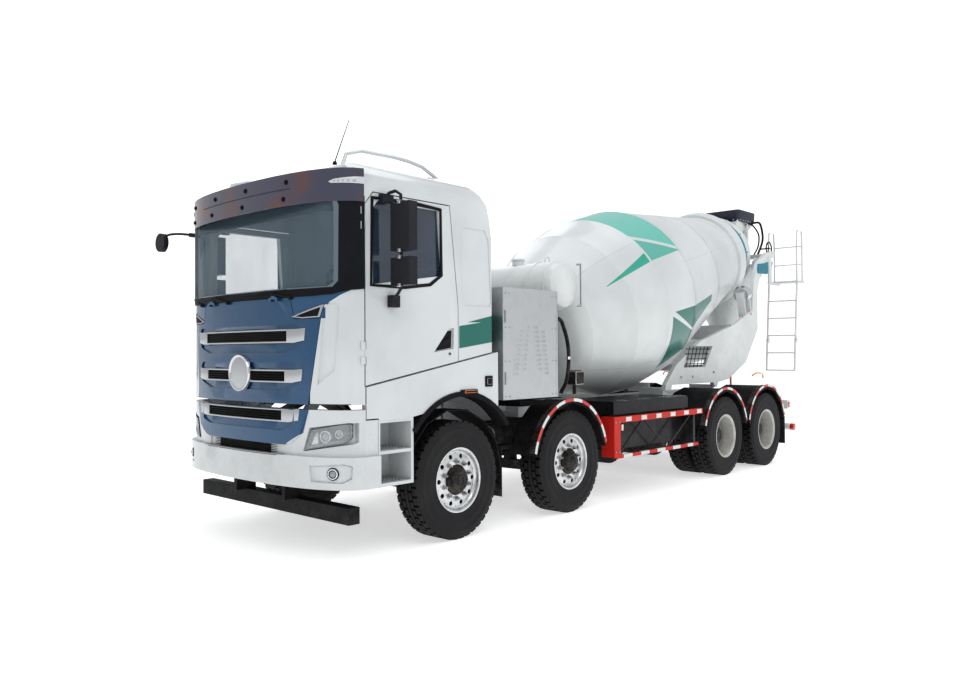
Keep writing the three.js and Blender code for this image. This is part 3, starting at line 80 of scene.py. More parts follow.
# %% [markdown]
# ## Floor, sky and lamps
# The truck stands on a plain pale floor under a soft overcast sky. One very large lamp high on the camera's side
# gives the body its shape, one overhead lights the roof, tank and drum as an open sky does, and weaker ones at the
# side and behind lift the edges. The sky is mixed with plain white for rays that come straight from the camera, so
# that the backdrop is white while the light on the truck stays soft.

# %% Floor and light
def stage_floor():
    bm = bmesh.new()
    bmesh.ops.create_grid(bm, x_segments=1, y_segments=1, size=60)
    mesh = bpy.data.meshes.new("floor")
    bm.to_mesh(mesh)
    bm.free()
    floor = bpy.data.objects.new("floor", mesh)
    bpy.context.scene.collection.objects.link(floor)
    material = bpy.data.materials.new("pale floor")
    material.use_nodes = True
    shader = material.node_tree.nodes["Principled BSDF"]
    shader.inputs["Base Color"].default_value = (0.74, 0.74, 0.73, 1)
    shader.inputs["Roughness"].default_value = 0.85
    shader.inputs["Emission Color"].default_value = (1, 1, 1, 1)
    shader.inputs["Emission Strength"].default_value = 0.48
    mesh.materials.append(material)


def area_lamp(name, place, target, size, watts, colour):
    data = bpy.data.lights.new(name, "AREA")
    data.shape = "DISK"
    data.size = size
    data.energy = watts
    data.color = colour
    lamp = bpy.data.objects.new(name, data)
    bpy.context.scene.collection.objects.link(lamp)
    lamp.location = place
    lamp.rotation_euler = (Vector(target) - Vector(place)).to_track_quat("-Z", "Y").to_euler()


stage_floor()
area_lamp("key", (9, -9, 13), (0, -1, 1.5), 9, 340, (1, 0.98, 0.95))
area_lamp("sky", (1, 1, 15), (0, 1, 0), 12, 420, (0.97, 0.985, 1))
area_lamp("fill", (11, 4, 7), (0, 1, 2), 9, 80, (0.93, 0.96, 1))
area_lamp("rim", (-9, 5, 10), (0, 0, 2), 8, 160, (0.95, 0.97, 1))
world = bpy.data.worlds.new("overcast")
world.use_nodes = True
world.node_tree.nodes["Background"].inputs["Color"].default_value = (0.95, 0.975, 1.0, 1)
world.node_tree.nodes["Background"].inputs["Strength"].default_value = 0.60
backdrop = world.node_tree.nodes.new("ShaderNodeBackground")
backdrop.inputs["Color"].default_value = (1, 1, 1, 1)
backdrop.inputs["Strength"].default_value = 1.1
seen = world.node_tree.nodes.new("ShaderNodeLightPath")
either = world.node_tree.nodes.new("ShaderNodeMixShader")
world.node_tree.links.new(seen.outputs["Is Camera Ray"], either.inputs[0])
world.node_tree.links.new(world.node_tree.nodes["Background"].outputs[0], either.inputs[1])
world.node_tree.links.new(backdrop.outputs[0], either.inputs[2])
world.node_tree.links.new(either.outputs[0], world.node_tree.nodes["World Output"].inputs["Surface"])
bpy.context.scene.world = world
bpy.context.scene.view_settings.view_transform = "Standard"
bpy.context.scene.view_settings.look = "Medium High Contrast"

# %% [markdown]
# ## A small language for finishes
# A finish is a node tree, and most of a tree is arithmetic on patterns. `Signal` wraps one socket, so that sums and
# products of patterns can be written as plain expressions, and each operator adds the Math node it stands for.

# %% Signals and finishes
class Signal:
    def __init__(self, finish, socket):
        self.finish = finish
        self.socket = socket

    def _math(self, operation, first, second):
        return self.finish.node("ShaderNodeMath", {"operation": operation}, {0: first, 1: second})

    def __add__(self, other):
        return self._math("ADD", self, other)

    def __radd__(self, other):
        return self._math("ADD", other, self)

    def __sub__(self, other):
        return self._math("SUBTRACT", self, other)

    def __rsub__(self, other):
        return self._math("SUBTRACT", other, self)

    def __mul__(self, other):
        return self._math("MULTIPLY", self, other)

    def __rmul__(self, other):
        return self._math("MULTIPLY", other, self)

    def __gt__(self, other):
        return self._math("GREATER_THAN", self, other)

    def __lt__(self, other):
        return self._math("LESS_THAN", self, other)


class Finish:
    """A Principled material; its named constants are set on the shader's own sockets."""

    def __init__(self, name, **constants):
        self.material = bpy.data.materials.new(name)
        self.material.use_nodes = True
        self.tree = self.material.node_tree
        self.shader = self.tree.nodes["Principled BSDF"]
        for label, value in constants.items():
            if label.endswith("Color") or label.endswith("color"):
                value = (*value, 1)
            self.shader.inputs[label.replace("_", " ")].default_value = value
        self._coordinates = None

    def node(self, kind, settings=None, sockets=None, output=0):
        made = self.tree.nodes.new(kind)
        for key, value in (settings or {}).items():
            if key == "stops":
                while len(made.color_ramp.elements) < len(value):
                    made.color_ramp.elements.new(1)
                for element, (place, colour) in zip(made.color_ramp.elements, value):
                    element.position = place
                    element.color = (*colour, 1) if len(colour) == 3 else colour
            else:
                setattr(made, key, value)
        for key, value in (sockets or {}).items():
            self.feed(made.inputs[key], value)
        return Signal(self, made.outputs[output])

    def feed(self, socket, value):
        if isinstance(value, Signal):
            self.tree.links.new(value.socket, socket)
        elif isinstance(value, (tuple, list)) and len(value) == 3 and socket.type == "RGBA":
            socket.default_value = (*value, 1)
        else:
            socket.default_value = value

    def place(self, scale=(1, 1, 1)):
        """Object coordinates, stretched."""
        if self._coordinates is None:
            self._coordinates = self.node("ShaderNodeTexCoord", output=3)
        if scale == (1, 1, 1):
            return self._coordinates
        return self.node("ShaderNodeMapping", None, {"Vector": self._coordinates, "Scale": scale})

    def axis(self, index):
        """One Object coordinate: 0, 1 or 2."""
        split = self.tree.nodes.new("ShaderNodeSeparateXYZ")
        self.feed(split.inputs[0], self.place())
        return Signal(self, split.outputs[index])

    def noise(self, scale, detail=3, stretch=(1, 1, 1), roughness=0.5):
        return self.node("ShaderNodeTexNoise", None, {
            "Vector": self.place(stretch), "Scale": scale, "Detail": detail, "Roughness": roughness})

    def between(self, signal, low, high, start=0.0, end=1.0):
        """Maps low..high smoothly to start..end."""
        return self.node("ShaderNodeMapRange", {"interpolation_type": "SMOOTHSTEP"}, {
            "Value": signal, "From Min": low, "From Max": high, "To Min": start, "To Max": end})

    def band(self, signal, low, high, soft=0.002):
        """1 between low and high, 0 outside."""
        return self.between(signal, low - soft, low + soft) * self.between(signal, high - soft, high + soft, 1, 0)

    def blend(self, factor, first, second):
        """A colour between two colours."""
        mix = self.tree.nodes.new("ShaderNodeMix")
        mix.data_type = "RGBA"
        self.feed(mix.inputs[0], factor)
        self.feed(mix.inputs[6], first)
        self.feed(mix.inputs[7], second)
        return Signal(self, mix.outputs[2])

    def send(self, label, signal):
        self.feed(self.shader.inputs[label], signal)
        return self

    def bump(self, height, distance, strength=1.0):
        normal = self.node("ShaderNodeBump", None, {"Height": height, "Distance": distance, "Strength": strength})
        return self.send("Normal", normal)


def coat(name, colour, rough, metal=0.0, dust=0.3, dust_colour=(0.36, 0.32, 0.27), dust_top=1.2,
         peel=0.0004, peel_scale=60, wear=0.0, worn_colour=(0.2, 0.2, 0.2), clear=0.0):
    """Paint or plastic: an uneven tone, dust that thins with height, fine texture and scuffs. Blacks shine less."""
    shine = 0.12 if max(colour) < 0.04 else 0.5
    finish = Finish(name, Coat_Weight=clear, Coat_Roughness=0.08, Specular_IOR_Level=shine)
    tone = finish.noise(0.9, 4)
    fine = finish.noise(7, 5, roughness=0.65)
    speck = finish.noise(38, 3, roughness=0.7)
    shade = tuple(c * 0.86 for c in colour)
    base = finish.blend(finish.between(tone, 0.35, 0.68), colour, shade)
    if wear:
        scuff = finish.between(speck * fine, 0.30, 0.40) * wear
        base = finish.blend(scuff, base, worn_colour)
    height = finish.between(finish.axis(2), 0.15, dust_top, 1, 0.12)
    dirt = finish.between(fine + speck * 0.5, 0.55, 1.05) * height * dust
    base = finish.blend(dirt, base, dust_colour)
    finish.send("Base Color", base)
    finish.send("Roughness", rough + dirt * 0.45 + (tone - 0.5) * 0.08)
    finish.send("Metallic", metal - dirt * metal)
    finish.bump(finish.noise(peel_scale, 2), peel)
    return finish


print("finish helper ready:", coat("sample", (0.5, 0.5, 0.5), 0.5).material.name)

# %% [markdown]
# ## Finishes
# The cab is off-white over steel blue, the mixer is a plainer white with dried cement, and everything low down is
# black under road dust. Each finish keeps its own scale of texture.

# %% Paints and plastics
WHITE = (0.650, 0.675, 0.685)
BLUE = (0.016, 0.080, 0.178)
GREEN = (0.004, 0.145, 0.115)
DEEP_BLACK = (0.012, 0.013, 0.016)
ROAD_BLACK = (0.011, 0.012, 0.016)

trim_black = coat("satin black trim", DEEP_BLACK, 0.45, dust=0.10, peel=0.0003, peel_scale=240)
grained_black = coat("grained black plastic", (0.012, 0.012, 0.015), 0.66, dust=0.20, peel=0.0008, peel_scale=190)
frame_paint = coat("chassis paint", ROAD_BLACK, 0.55, dust=0.28, dust_top=1.4, wear=0.2,
                   worn_colour=(0.12, 0.09, 0.07))
mixer_paint = coat("mixer white paint", (0.75, 0.77, 0.77), 0.36, dust=0.30, dust_colour=(0.50, 0.49, 0.46),
                   dust_top=4.5, wear=0.15, worn_colour=(0.42, 0.40, 0.37), clear=0.25)
mirror_grey = coat("mirror housing", (0.030, 0.032, 0.037), 0.33, dust=0.12, dust_top=3, peel_scale=300)
blue_paint = coat("steel blue paint", BLUE, 0.25, metal=0.25, dust=0.12, dust_top=2.2, clear=0.6)
silver_trim = coat("silver trim", (0.52, 0.53, 0.54), 0.28, metal=0.8, dust=0.1, dust_top=2, clear=0.4)
rubber_black = coat("hose rubber", (0.015, 0.015, 0.016), 0.55, dust=0.3, dust_top=4, peel=0.0003, peel_scale=200)
orange_lens = coat("amber lens", (0.85, 0.22, 0.015), 0.12, dust=0.1, clear=0.8)
red_lens = coat("red lens", (0.55, 0.012, 0.012), 0.12, dust=0.1, clear=0.8)
chrome = coat("polished metal", (0.72, 0.73, 0.75), 0.14, metal=1.0, dust=0.15, dust_top=2, peel=0.0001)
print("paints:", len(bpy.data.materials))

# %% [markdown]
# Some finishes have a pattern of their own. The cab side carries two green fields parted by white lines, the drum a
# green crown painted lighter towards the top as painted highlight, two arrows and a dark tail band, and the mudguards'
# edges a red and white tape. The cab's front wall and the bumper's top face carry painted shade in the gap under the
# flap.

# %% Finishes with a pattern
def cab_finish():
    finish = coat("cab white paint", WHITE, 0.24, dust=0.22, dust_colour=(0.50, 0.48, 0.44), dust_top=2.0, clear=0.5)
    y = finish.axis(1) - AXLE
    z = finish.axis(2)
    base = Signal(finish, finish.shader.inputs["Base Color"].links[0].from_socket)
    lower = finish.band(z - y * 0.13, 1.742, 1.946) * finish.band(y, -0.024, 0.60, 0.003)
    upper = finish.band(z - y * 0.20, 1.75, 1.962) * finish.band(z - y * 0.02, 1.977, 2.2) * finish.band(y, 0.02, 0.6)
    base = finish.blend(lower + upper, base, GREEN)
    x = finish.axis(0)
    out = finish.node("ShaderNodeMath", {"operation": "ABSOLUTE"}, {0: x})
    nose = finish.band(y, -1.60, -1.14, 0.004) * finish.band(z, 1.985, 2.22)
    top = nose * finish.between(out - z * 1.5, -2.116, -2.112, 1, 0) * finish.band(z, 2.085, 2.22)
    low = nose * finish.band(out, -1, 1.018)
    base = finish.blend(finish.between(top + low, 0.4, 0.6), base, BLUE)
    # Painted shade: where the shell's front wall shows in the gap under the flap and in the slot above the bumper, it
    # is painted black for the shade that falls there.
    gap_shade = finish.band(y, -1.60, -1.40) * finish.band(z, 1.10, 1.42) * finish.band(out, -1, 0.87)
    slot = finish.band(y, -1.60, -1.20) * finish.band(z, 1.10, 1.288) * finish.band(out, -1, 1.2)
    finish.send("Base Color", finish.blend(finish.between(gap_shade + slot, 0.4, 0.6), base, DEEP_BLACK))
    return finish


def bumper_finish():
    """White, with the blue nose running down into it, and its top face painted black as painted shade in the gap under
    the flap.
    """
    finish = coat("bumper paint", WHITE, 0.26, dust=0.35, dust_colour=(0.42, 0.39, 0.35), dust_top=1.5, clear=0.4)
    base = Signal(finish, finish.shader.inputs["Base Color"].links[0].from_socket)
    x = finish.axis(0)
    z = finish.axis(2)
    out = finish.node("ShaderNodeMath", {"operation": "ABSOLUTE"}, {0: x})
    chin = finish.band(out - z * 0.30, -1.0, 0.505) * finish.band(out - z * 1.9, -9.0, -1.17) * finish.band(z,
            0.939, 1.3)
    base = finish.blend(chin, base, BLUE)
    # Painted shade: the bumper's top face, seen in the gap under the flap, is painted black.
    ledge_shade = finish.band(z, 1.2385, 1.30)
    finish.send("Base Color", finish.blend(ledge_shade, base, DEEP_BLACK))
    return finish


def guard_finish():
    """A black box behind a red post and rail, over a lower bar taped red and white."""
    finish = coat("side box and guard paint", ROAD_BLACK, 0.42, dust=0.2, dust_top=1.3, clear=0.2)
    base = Signal(finish, finish.shader.inputs["Base Color"].links[0].from_socket)
    x = finish.axis(0)
    y = finish.axis(1) - AXLE
    z = finish.axis(2)
    out = finish.node("ShaderNodeMath", {"operation": "ABSOLUTE"}, {0: x})
    guard = finish.band(out, 1.208, 1.3) * finish.band(z, 0.884, 0.975) + finish.band(z, 0.478,
            0.530) * finish.band(out, 1.2, 1.3)
    post = finish.band(out, 1.065, 1.3) * finish.band(y, 2.5, 2.695) * finish.band(z, 0.4, 0.975)
    either = finish.between(guard + post, 0.5, 0.51)
    wave = finish.node("ShaderNodeMath", {"operation": "PINGPONG"}, {0: y, 1: 0.19})
    white = finish.between(wave, 0.092, 0.098) * finish.band(z, 0.48, 0.53) * finish.band(y, 2.70, 4.42)
    red = finish.blend(finish.noise(3, 4), (0.50, 0.022, 0.014), (0.60, 0.035, 0.022))
    base = finish.blend(either, base, red)
    finish.send("Base Color", finish.blend(white * guard, base, (0.70, 0.70, 0.68)))
    return finish


def drum_finish():
    finish = coat("drum white paint", (0.68, 0.71, 0.71), 0.30, dust=0.25, dust_colour=(0.50, 0.49, 0.46),
                  dust_top=4.0, clear=0.35)
    base = Signal(finish, finish.shader.inputs["Base Color"].links[0].from_socket)
    along, up = finish.drum_axes()
    side = finish.axis(0)
    out = finish.node("ShaderNodeMath", {"operation": "ABSOLUTE"}, {0: side})
    turn = finish.node("ShaderNodeMath", {"operation": "ARCTAN2"}, {0: up, 1: out}) * (180 / math.pi)
    crown = finish.above(along, turn, 1.268, 47.5, 1.918, 31.5) * finish.band(along, 1.19, 1.93, 0.004)
    lower_crown = (finish.above(along, turn, 1.21, 28.4, 1.935, 28.4) * finish.below(along, turn, 1.277, 44.0,
            1.935, 28.6)
                   * finish.band(along, 1.20, 1.93, 0.004))
    wing = (finish.above(along, turn, 0.371, 25.6, 1.175, 28.2) * finish.below(along, turn, 0.371, 26.2, 1.162, 34.6)
            * finish.band(along, 0.37, 1.17, 0.003))
    head = (finish.above(along, turn, 1.966, -23.8, 2.809, -17.6) * finish.below(along, turn, 1.357, -6.4, 2.763,
            -12.1)
            * finish.below(along, turn, 1.35, -6.0, 2.02, -27.0, flip=True) * finish.band(along, 1.35, 2.80, 0.003))
    tail = (finish.below(along, turn, 1.326, -9.3, 1.961, -26.5) * finish.above(along, turn, 1.192, -47.7, 1.961,
            -39.5)
            * finish.band(along, 1.30, 1.94, 0.004))
    seam = finish.band(turn, 43.6, 44.1, 0.1) * finish.band(along, 0.02, 1.15, 0.01)
    seam = seam + finish.band(turn, -37.4, -36.9, 0.1) * finish.band(along, 0.02, 1.19, 0.01)
    seam = seam + finish.band(turn, 20.0, 20.4, 0.1) * finish.band(along, 1.93, 4.2, 0.01)
    # The decal is one green print, with painted highlight: the crown, the field under it and the wing get lighter
    # greens, the higher the lighter, for the light falling on the drum's top.
    base = finish.blend(crown, base, (0.13, 0.50, 0.42))
    base = finish.blend(lower_crown, base, (0.10, 0.42, 0.35))
    base = finish.blend(wing, base, (0.03, 0.36, 0.26))
    base = finish.blend(head + tail, base, GREEN)
    base = finish.blend(seam * 0.5, base, (0.42, 0.42, 0.40))
    finish.send("Base Color", base)
    return finish


def edge_side(finish, along, turn, s0, a0, s1, a1, sign):
    """1 on one side of the line through two points of the unrolled drum, 0 on the other."""
    slope = (a1 - a0) / (s1 - s0)
    return finish.between((turn - a0) - (along - s0) * slope, -0.25 * sign, 0.25 * sign)


def above(finish, along, turn, s0, a0, s1, a1):
    return finish.edge_side(along, turn, s0, a0, s1, a1, 1)


def below(finish, along, turn, s0, a0, s1, a1, flip=False):
    return finish.edge_side(along, turn, s0, a0, s1, a1, 1 if flip else -1)


def drum_axes(finish):
    """How far a point lies along the drum's axis, and above it."""
    y = finish.axis(1) - (AXLE + DRUM_SEAM[0])
    z = finish.axis(2) - DRUM_SEAM[1]
    along = y * math.cos(DRUM_TILT) + z * math.sin(DRUM_TILT)
    up = z * math.cos(DRUM_TILT) - y * math.sin(DRUM_TILT)
    return along, up


def arc_tape_finish(name, centre_y, step):
    """Red and white fields that follow an arch round one axle."""
    finish = coat(name, (0.62, 0.02, 0.015), 0.35, dust=0.3, dust_top=1.3, clear=0.3)
    base = Signal(finish, finish.shader.inputs["Base Color"].links[0].from_socket)
    y = finish.axis(1) - (AXLE + centre_y)
    z = finish.axis(2) - HUB_Z
    angle = finish.node("ShaderNodeMath", {"operation": "ARCTAN2"}, {0: z, 1: y})
    wave = finish.node("ShaderNodeMath", {"operation": "PINGPONG"}, {0: angle + math.pi, 1: step})
    finish.send("Base Color", finish.blend(finish.between(wave, step * 0.48, step * 0.52), base, (0.7, 0.7, 0.68)))
    return finish


def tyre_finish():
    finish = Finish("tyre rubber")
    x = finish.axis(0)
    tone = finish.noise(3, 4)
    speck = finish.noise(60, 3)
    dust = finish.between(tone + speck * 0.4, 0.55, 0.95) * 0.10
    finish.send("Base Color", finish.blend(dust, (0.006, 0.006, 0.008), (0.12, 0.108, 0.09)))
    finish.send("Roughness", 0.72 + dust * 0.5 + x * 0)
    finish.bump(finish.noise(180, 3), 0.0008)
    return finish


def alloy_finish(name, colour, rough, dirt):
    finish = Finish(name)
    fine = finish.noise(9, 5, roughness=0.7)
    brushed = finish.noise(30, 2, stretch=(12, 1, 1))
    grime = finish.between(fine, 0.45, 0.72) * dirt
    finish.send("Base Color", finish.blend(grime, colour, (0.19, 0.17, 0.15)))
    finish.send("Metallic", 0.95 - grime * 0.8)
    finish.send("Roughness", rough + grime * 0.4 + (brushed - 0.5) * 0.12)
    finish.bump(brushed, 0.0003)
    return finish


def glass_finish(name, colour, alpha):
    finish = Finish(name, Roughness=0.03, Specular_IOR_Level=0.9, IOR=1.5)
    streak = finish.noise(2.2, 3, stretch=(1, 1, 0.3))
    finish.send("Base Color", finish.blend(finish.between(streak, 0.4, 0.7), colour, tuple(c * 0.7 for c in colour)))
    finish.send("Alpha", alpha + finish.between(streak, 0.3, 0.8) * 0.08)
    finish.material.surface_render_method = "BLENDED"
    return finish


def visor_finish():
    """Tinted acrylic, violet with brown where the sky shines through it."""
    finish = Finish("tinted acrylic", Coat_Weight=0.8, Coat_Roughness=0.05)
    cloud = finish.noise(1.6, 2)
    tint = finish.blend(finish.between(cloud, 0.46, 0.62), (0.050, 0.050, 0.085), (0.115, 0.045, 0.040))
    finish.send("Base Color", tint)
    finish.send("Roughness", 0.14 + finish.noise(12, 3) * 0.08)
    finish.bump(finish.noise(90, 2), 0.0001)
    return finish


def tread_plate_finish():
    finish = coat("tread plate", (0.42, 0.43, 0.44), 0.38, metal=0.85, dust=0.6, dust_top=1.4)
    x = finish.axis(0)
    y = finish.axis(1)
    one = finish.node("ShaderNodeMath", {"operation": "SINE"}, {0: (x + y) * 210})
    two = finish.node("ShaderNodeMath", {"operation": "SINE"}, {0: (x - y) * 210})
    finish.bump(one * two, 0.002)
    return finish


def cloth_finish():
    finish = Finish("woven seat cloth", Sheen_Weight=0.25)
    one = finish.node("ShaderNodeMath", {"operation": "SINE"}, {0: finish.axis(0) * 900})
    two = finish.node("ShaderNodeMath", {"operation": "SINE"}, {0: (finish.axis(1) + finish.axis(2)) * 900})
    weave = one * two
    finish.send("Base Color", finish.blend(finish.between(weave, -0.6, 0.6), (0.035, 0.037, 0.042),
            (0.07, 0.072, 0.08)))
    finish.send("Roughness", finish.noise(5, 2) * 0.1 + 0.82)
    finish.bump(weave, 0.0006)
    return finish


DRUM_TILT = math.radians(15.6)
DRUM_SEAM = (2.727, 1.971)
Finish.drum_axes = drum_axes
Finish.edge_side = edge_side
Finish.above = above
Finish.below = below
cab_paint = cab_finish()
drum_paint = drum_finish()
bumper_paint = bumper_finish()
guard_paint = guard_finish()
tyre_rubber = tyre_finish()
wheel_alloy = alloy_finish("forged aluminium", (0.66, 0.67, 0.68), 0.26, 0.35)
rear_rim_paint = coat("pale rim paint", (0.62, 0.62, 0.60), 0.35, metal=0.2, dust=0.8, dust_top=1.2)
cabinet_sheet = alloy_finish("cabinet sheet", (0.56, 0.57, 0.58), 0.40, 0.10)
visor_acrylic = visor_finish()
screen_glass = glass_finish("windscreen glass", (0.20, 0.29, 0.36), 0.22)
# Painted shade and light: both door glasses stand for one glass; the near one is dark and nearly opaque for the shaded
# cab behind it, the far one pale and nearly clear for the bright sky seen through it.
door_glass = glass_finish("door glass", (0.030, 0.050, 0.085), 0.70)
far_glass_painted_pale = glass_finish("far door glass painted pale", (0.30, 0.36, 0.40), 0.10)
lens_glass = glass_finish("lamp glass", (0.75, 0.80, 0.82), 0.22)
lens_clear = coat("projector lens", (0.30, 0.34, 0.37), 0.05, metal=0.2, dust=0.05, clear=1.0, peel=0.0001)
mirror_glass = Finish("mirror glass", Metallic=1.0, Roughness=0.03, Base_Color=(0.75, 0.78, 0.80))
tread_plate = tread_plate_finish()
seat_cloth = cloth_finish()
white_block = coat("white reflector", (0.75, 0.75, 0.73), 0.3, dust=0.3, dust_top=1.3)
teal_panel = coat("teal panel", (0.02, 0.22, 0.30), 0.4, dust=0.2, dust_top=5)
print("finishes:", len(bpy.data.materials))

# %% [markdown]
# ## Shapes
# Small helpers place bmesh shapes in the truck's own measures: metres from the first axle and the ground. A rounded
# block is a cube with bevelled edges, a rod is a capped cone of one radius, a turned piece is a profile that is spun,
# and a tube is a curve with a round section that becomes a mesh.

# %% Shape helpers
def at(x, y, z):
    return Vector((x, AXLE + y, z))


def add_block(bm, x0, x1, y0, y1, z0, z1, bevel=0.004, segments=2, index=0):
    middle = at((x0 + x1) / 2, (y0 + y1) / 2, (z0 + z1) / 2)
    size = Matrix.Diagonal((abs(x1 - x0), abs(y1 - y0), abs(z1 - z0), 1))
    made = bmesh.ops.create_cube(bm, size=1, matrix=Matrix.Translation(middle) @ size)
    verts = made["verts"]
    faces = list({f for v in verts for f in v.link_faces})
    if bevel:
        edges = list({e for v in verts for e in v.link_edges})
        result = bmesh.ops.bevel(bm, geom=edges, offset=bevel, segments=segments, profile=0.5,
                                 affect="EDGES", material=-1)
        faces = [f for f in faces if f.is_valid] + result["faces"]
        verts = list({v for f in faces for v in f.verts})
    for face in faces:
        face.material_index = index
    return verts


def add_rod(bm, start, end, radius, sides=16, end_radius=None, index=0, bevel=0):
    a, b = at(*start), at(*end)
    turn = (b - a).to_track_quat("Z", "Y").to_matrix().to_4x4()
    made = bmesh.ops.create_cone(
        bm, cap_ends=True, cap_tris=False, segments=sides, radius1=radius,
        radius2=radius if end_radius is None else end_radius, depth=(b - a).length,
        matrix=Matrix.Translation((a + b) / 2) @ turn)
    faces = list({f for v in made["verts"] for f in v.link_faces})
    if bevel:
        rims = [e for f in faces if len(f.verts) > 4 for e in f.edges]
        result = bmesh.ops.bevel(bm, geom=rims, offset=bevel, segments=2, profile=0.5, affect="EDGES", material=-1)
        faces = [f for f in faces if f.is_valid] + result["faces"]
    for face in faces:
        face.material_index = index
    return faces


def add_turned(bm, profile, centre, axis, steps=48, index=0, closed=False):
    """Spins (radius, distance along the axis) points round an axis through the centre."""
    axis = Vector(axis).normalized()
    side = axis.orthogonal().normalized()
    verts = [bm.verts.new(centre + axis * h + side * r) for r, h in profile]
    pairs = list(zip(verts, verts[1:])) + ([(verts[-1], verts[0])] if closed else [])
    edges = [bm.edges.new(pair) for pair in pairs]
    before = set(bm.faces)
    bmesh.ops.spin(bm, geom=verts + edges, cent=centre, axis=axis, angle=math.tau, steps=steps, use_merge=True)
    faces = [f for f in bm.faces if f not in before]
    bmesh.ops.remove_doubles(bm, verts=list({v for f in faces for v in f.verts}), dist=1e-5)
    faces = [f for f in bm.faces if f not in before and f.is_valid]
    bmesh.ops.recalc_face_normals(bm, faces=faces)
    for face in faces:
        face.material_index = index
    return faces


def smooth_line(points, steps=8):
    """Points on a smooth line through the given ones."""
    points = [Vector(p) for p in points]
    ends = [points[0] * 2 - points[1]] + points + [points[-1] * 2 - points[-2]]
    line = []
    for a, b, c, d in zip(ends, ends[1:], ends[2:], ends[3:]):
        for i in range(steps):
            t = i / steps
            line.append(0.5 * ((2 * b) + (c - a) * t + (2 * a - 5 * b + 4 * c - d) * t * t
                               + (3 * b - a - 3 * c + d) * t ** 3))
    return line + [points[-1]]


def add_tube(bm, points, radius, steps=8, sides=12, index=0):
    """A round bar along a smooth line."""
    data = bpy.data.curves.new("path", "CURVE")
    data.dimensions = "3D"
    data.bevel_depth = radius
    data.bevel_resolution = max(1, sides // 4 - 1)
    data.use_fill_caps = True
    line = smooth_line(points, steps) if steps > 1 else [Vector(p) for p in points]
    spline = data.splines.new("POLY")
    spline.points.add(len(line) - 1)
    for point, place in zip(spline.points, line):
        point.co = (*at(*place), 1)
    holder = bpy.data.objects.new("path", data)
    mesh = holder.to_mesh()
    before = len(bm.faces)
    bm.from_mesh(mesh)
    holder.to_mesh_clear()
    bpy.data.objects.remove(holder)
    bpy.data.curves.remove(data)
    bm.faces.ensure_lookup_table()
    for face in bm.faces[before:]:
        face.material_index = index


def add_outline(bm, outline, axis, low, high, bevel=0.0, index=0):
    """A flat outline made thick along X, Y or Z; the outline gives the other two measures in their order."""
    order = {"X": (1, 2), "Y": (0, 2), "Z": (0, 1)}[axis]
    along = {"X": 0, "Y": 1, "Z": 2}[axis]
    verts = []
    for a, b in outline:
        place = [0, 0, 0]
        place[order[0]], place[order[1]], place[along] = a, b, low
        verts.append(bm.verts.new(at(*place)))
    face = bm.faces.new(verts)
    grown = bmesh.ops.extrude_face_region(bm, geom=[face])["geom"]
    move = [0, 0, 0]
    move[along] = high - low
    moved = [g for g in grown if isinstance(g, bmesh.types.BMVert)]
    bmesh.ops.translate(bm, vec=Vector(move), verts=moved)
    faces = list({f for v in verts + moved for f in v.link_faces})
    bmesh.ops.recalc_face_normals(bm, faces=faces)
    if bevel:
        edges = list({e for f in faces for e in f.edges if e.calc_face_angle(0) > 0.6})
        result = bmesh.ops.bevel(bm, geom=edges, offset=bevel, segments=2, profile=0.5, affect="EDGES", material=-1)
        faces = [f for f in faces if f.is_valid] + result["faces"]
    for face in faces:
        face.material_index = index
    return faces


def piece(name, bm, body, finishes, sharp=35, bevel=0.0, stands_for=()):
    """Turns a bmesh into a finished piece that moves with a body."""
    mesh = bpy.data.meshes.new(name)
    bm.to_mesh(mesh)
    bm.free()
    for finish in finishes if isinstance(finishes, (list, tuple)) else [finishes]:
        mesh.materials.append(finish.material)
    mesh.shade_smooth()
    mesh.set_sharp_from_angle(angle=math.radians(sharp))
    made = bpy.data.objects.new(name, mesh)
    bpy.context.scene.collection.objects.link(made)
    if bevel:
        rounding = made.modifiers.new("rounding", "BEVEL")
        rounding.width = bevel
        rounding.segments = 2
        rounding.limit_method = "ANGLE"
        rounding.angle_limit = math.radians(38)
        rounding.harden_normals = True
    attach(made, body)
    if stands_for:
        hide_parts(*stands_for)
    return made


BODY_OF = {node: body for body, nodes in frame["record"]["behaviour"]["bodies"].items() for node in nodes}


def refined(node, finish, bevel=0.003, sharp=35, name=None):
    """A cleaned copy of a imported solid: merged, with flat faces made whole, smooth where it curves, edges rounded."""
    bm = bmesh.new()
    bm.from_mesh(frame["nodes"][node].data)
    bmesh.ops.remove_doubles(bm, verts=bm.verts, dist=1e-5)
    bmesh.ops.dissolve_limit(bm, angle_limit=math.radians(1.5), verts=bm.verts, edges=bm.edges)
    return piece(name or node + "_skin", bm, BODY_OF[node], finish, sharp=sharp, bevel=bevel, stands_for=[node])


def mirror_x(bm):
    """Adds the other side's copy of everything in the mesh."""
    geom = bm.verts[:] + bm.edges[:] + bm.faces[:]
    copy = bmesh.ops.duplicate(bm, geom=geom)["geom"]
    verts = [g for g in copy if isinstance(g, bmesh.types.BMVert)]
    faces = [g for g in copy if isinstance(g, bmesh.types.BMFace)]
    bmesh.ops.scale(bm, vec=(-1, 1, 1), verts=verts)
    bmesh.ops.reverse_faces(bm, faces=faces)


print("bodies:", sorted(set(BODY_OF.values())))

# %% [markdown]
# ## Welded and pressed steelwork
# Frame rails, brackets, guards and the cab's shell are cut, folded and welded sheet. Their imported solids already
# have the real shape, so each is copied, its flat faces are made whole and a small radius is laid along every edge,
# as a folded or ground edge has. That is quicker than modelling each again, and it keeps them exactly in place.

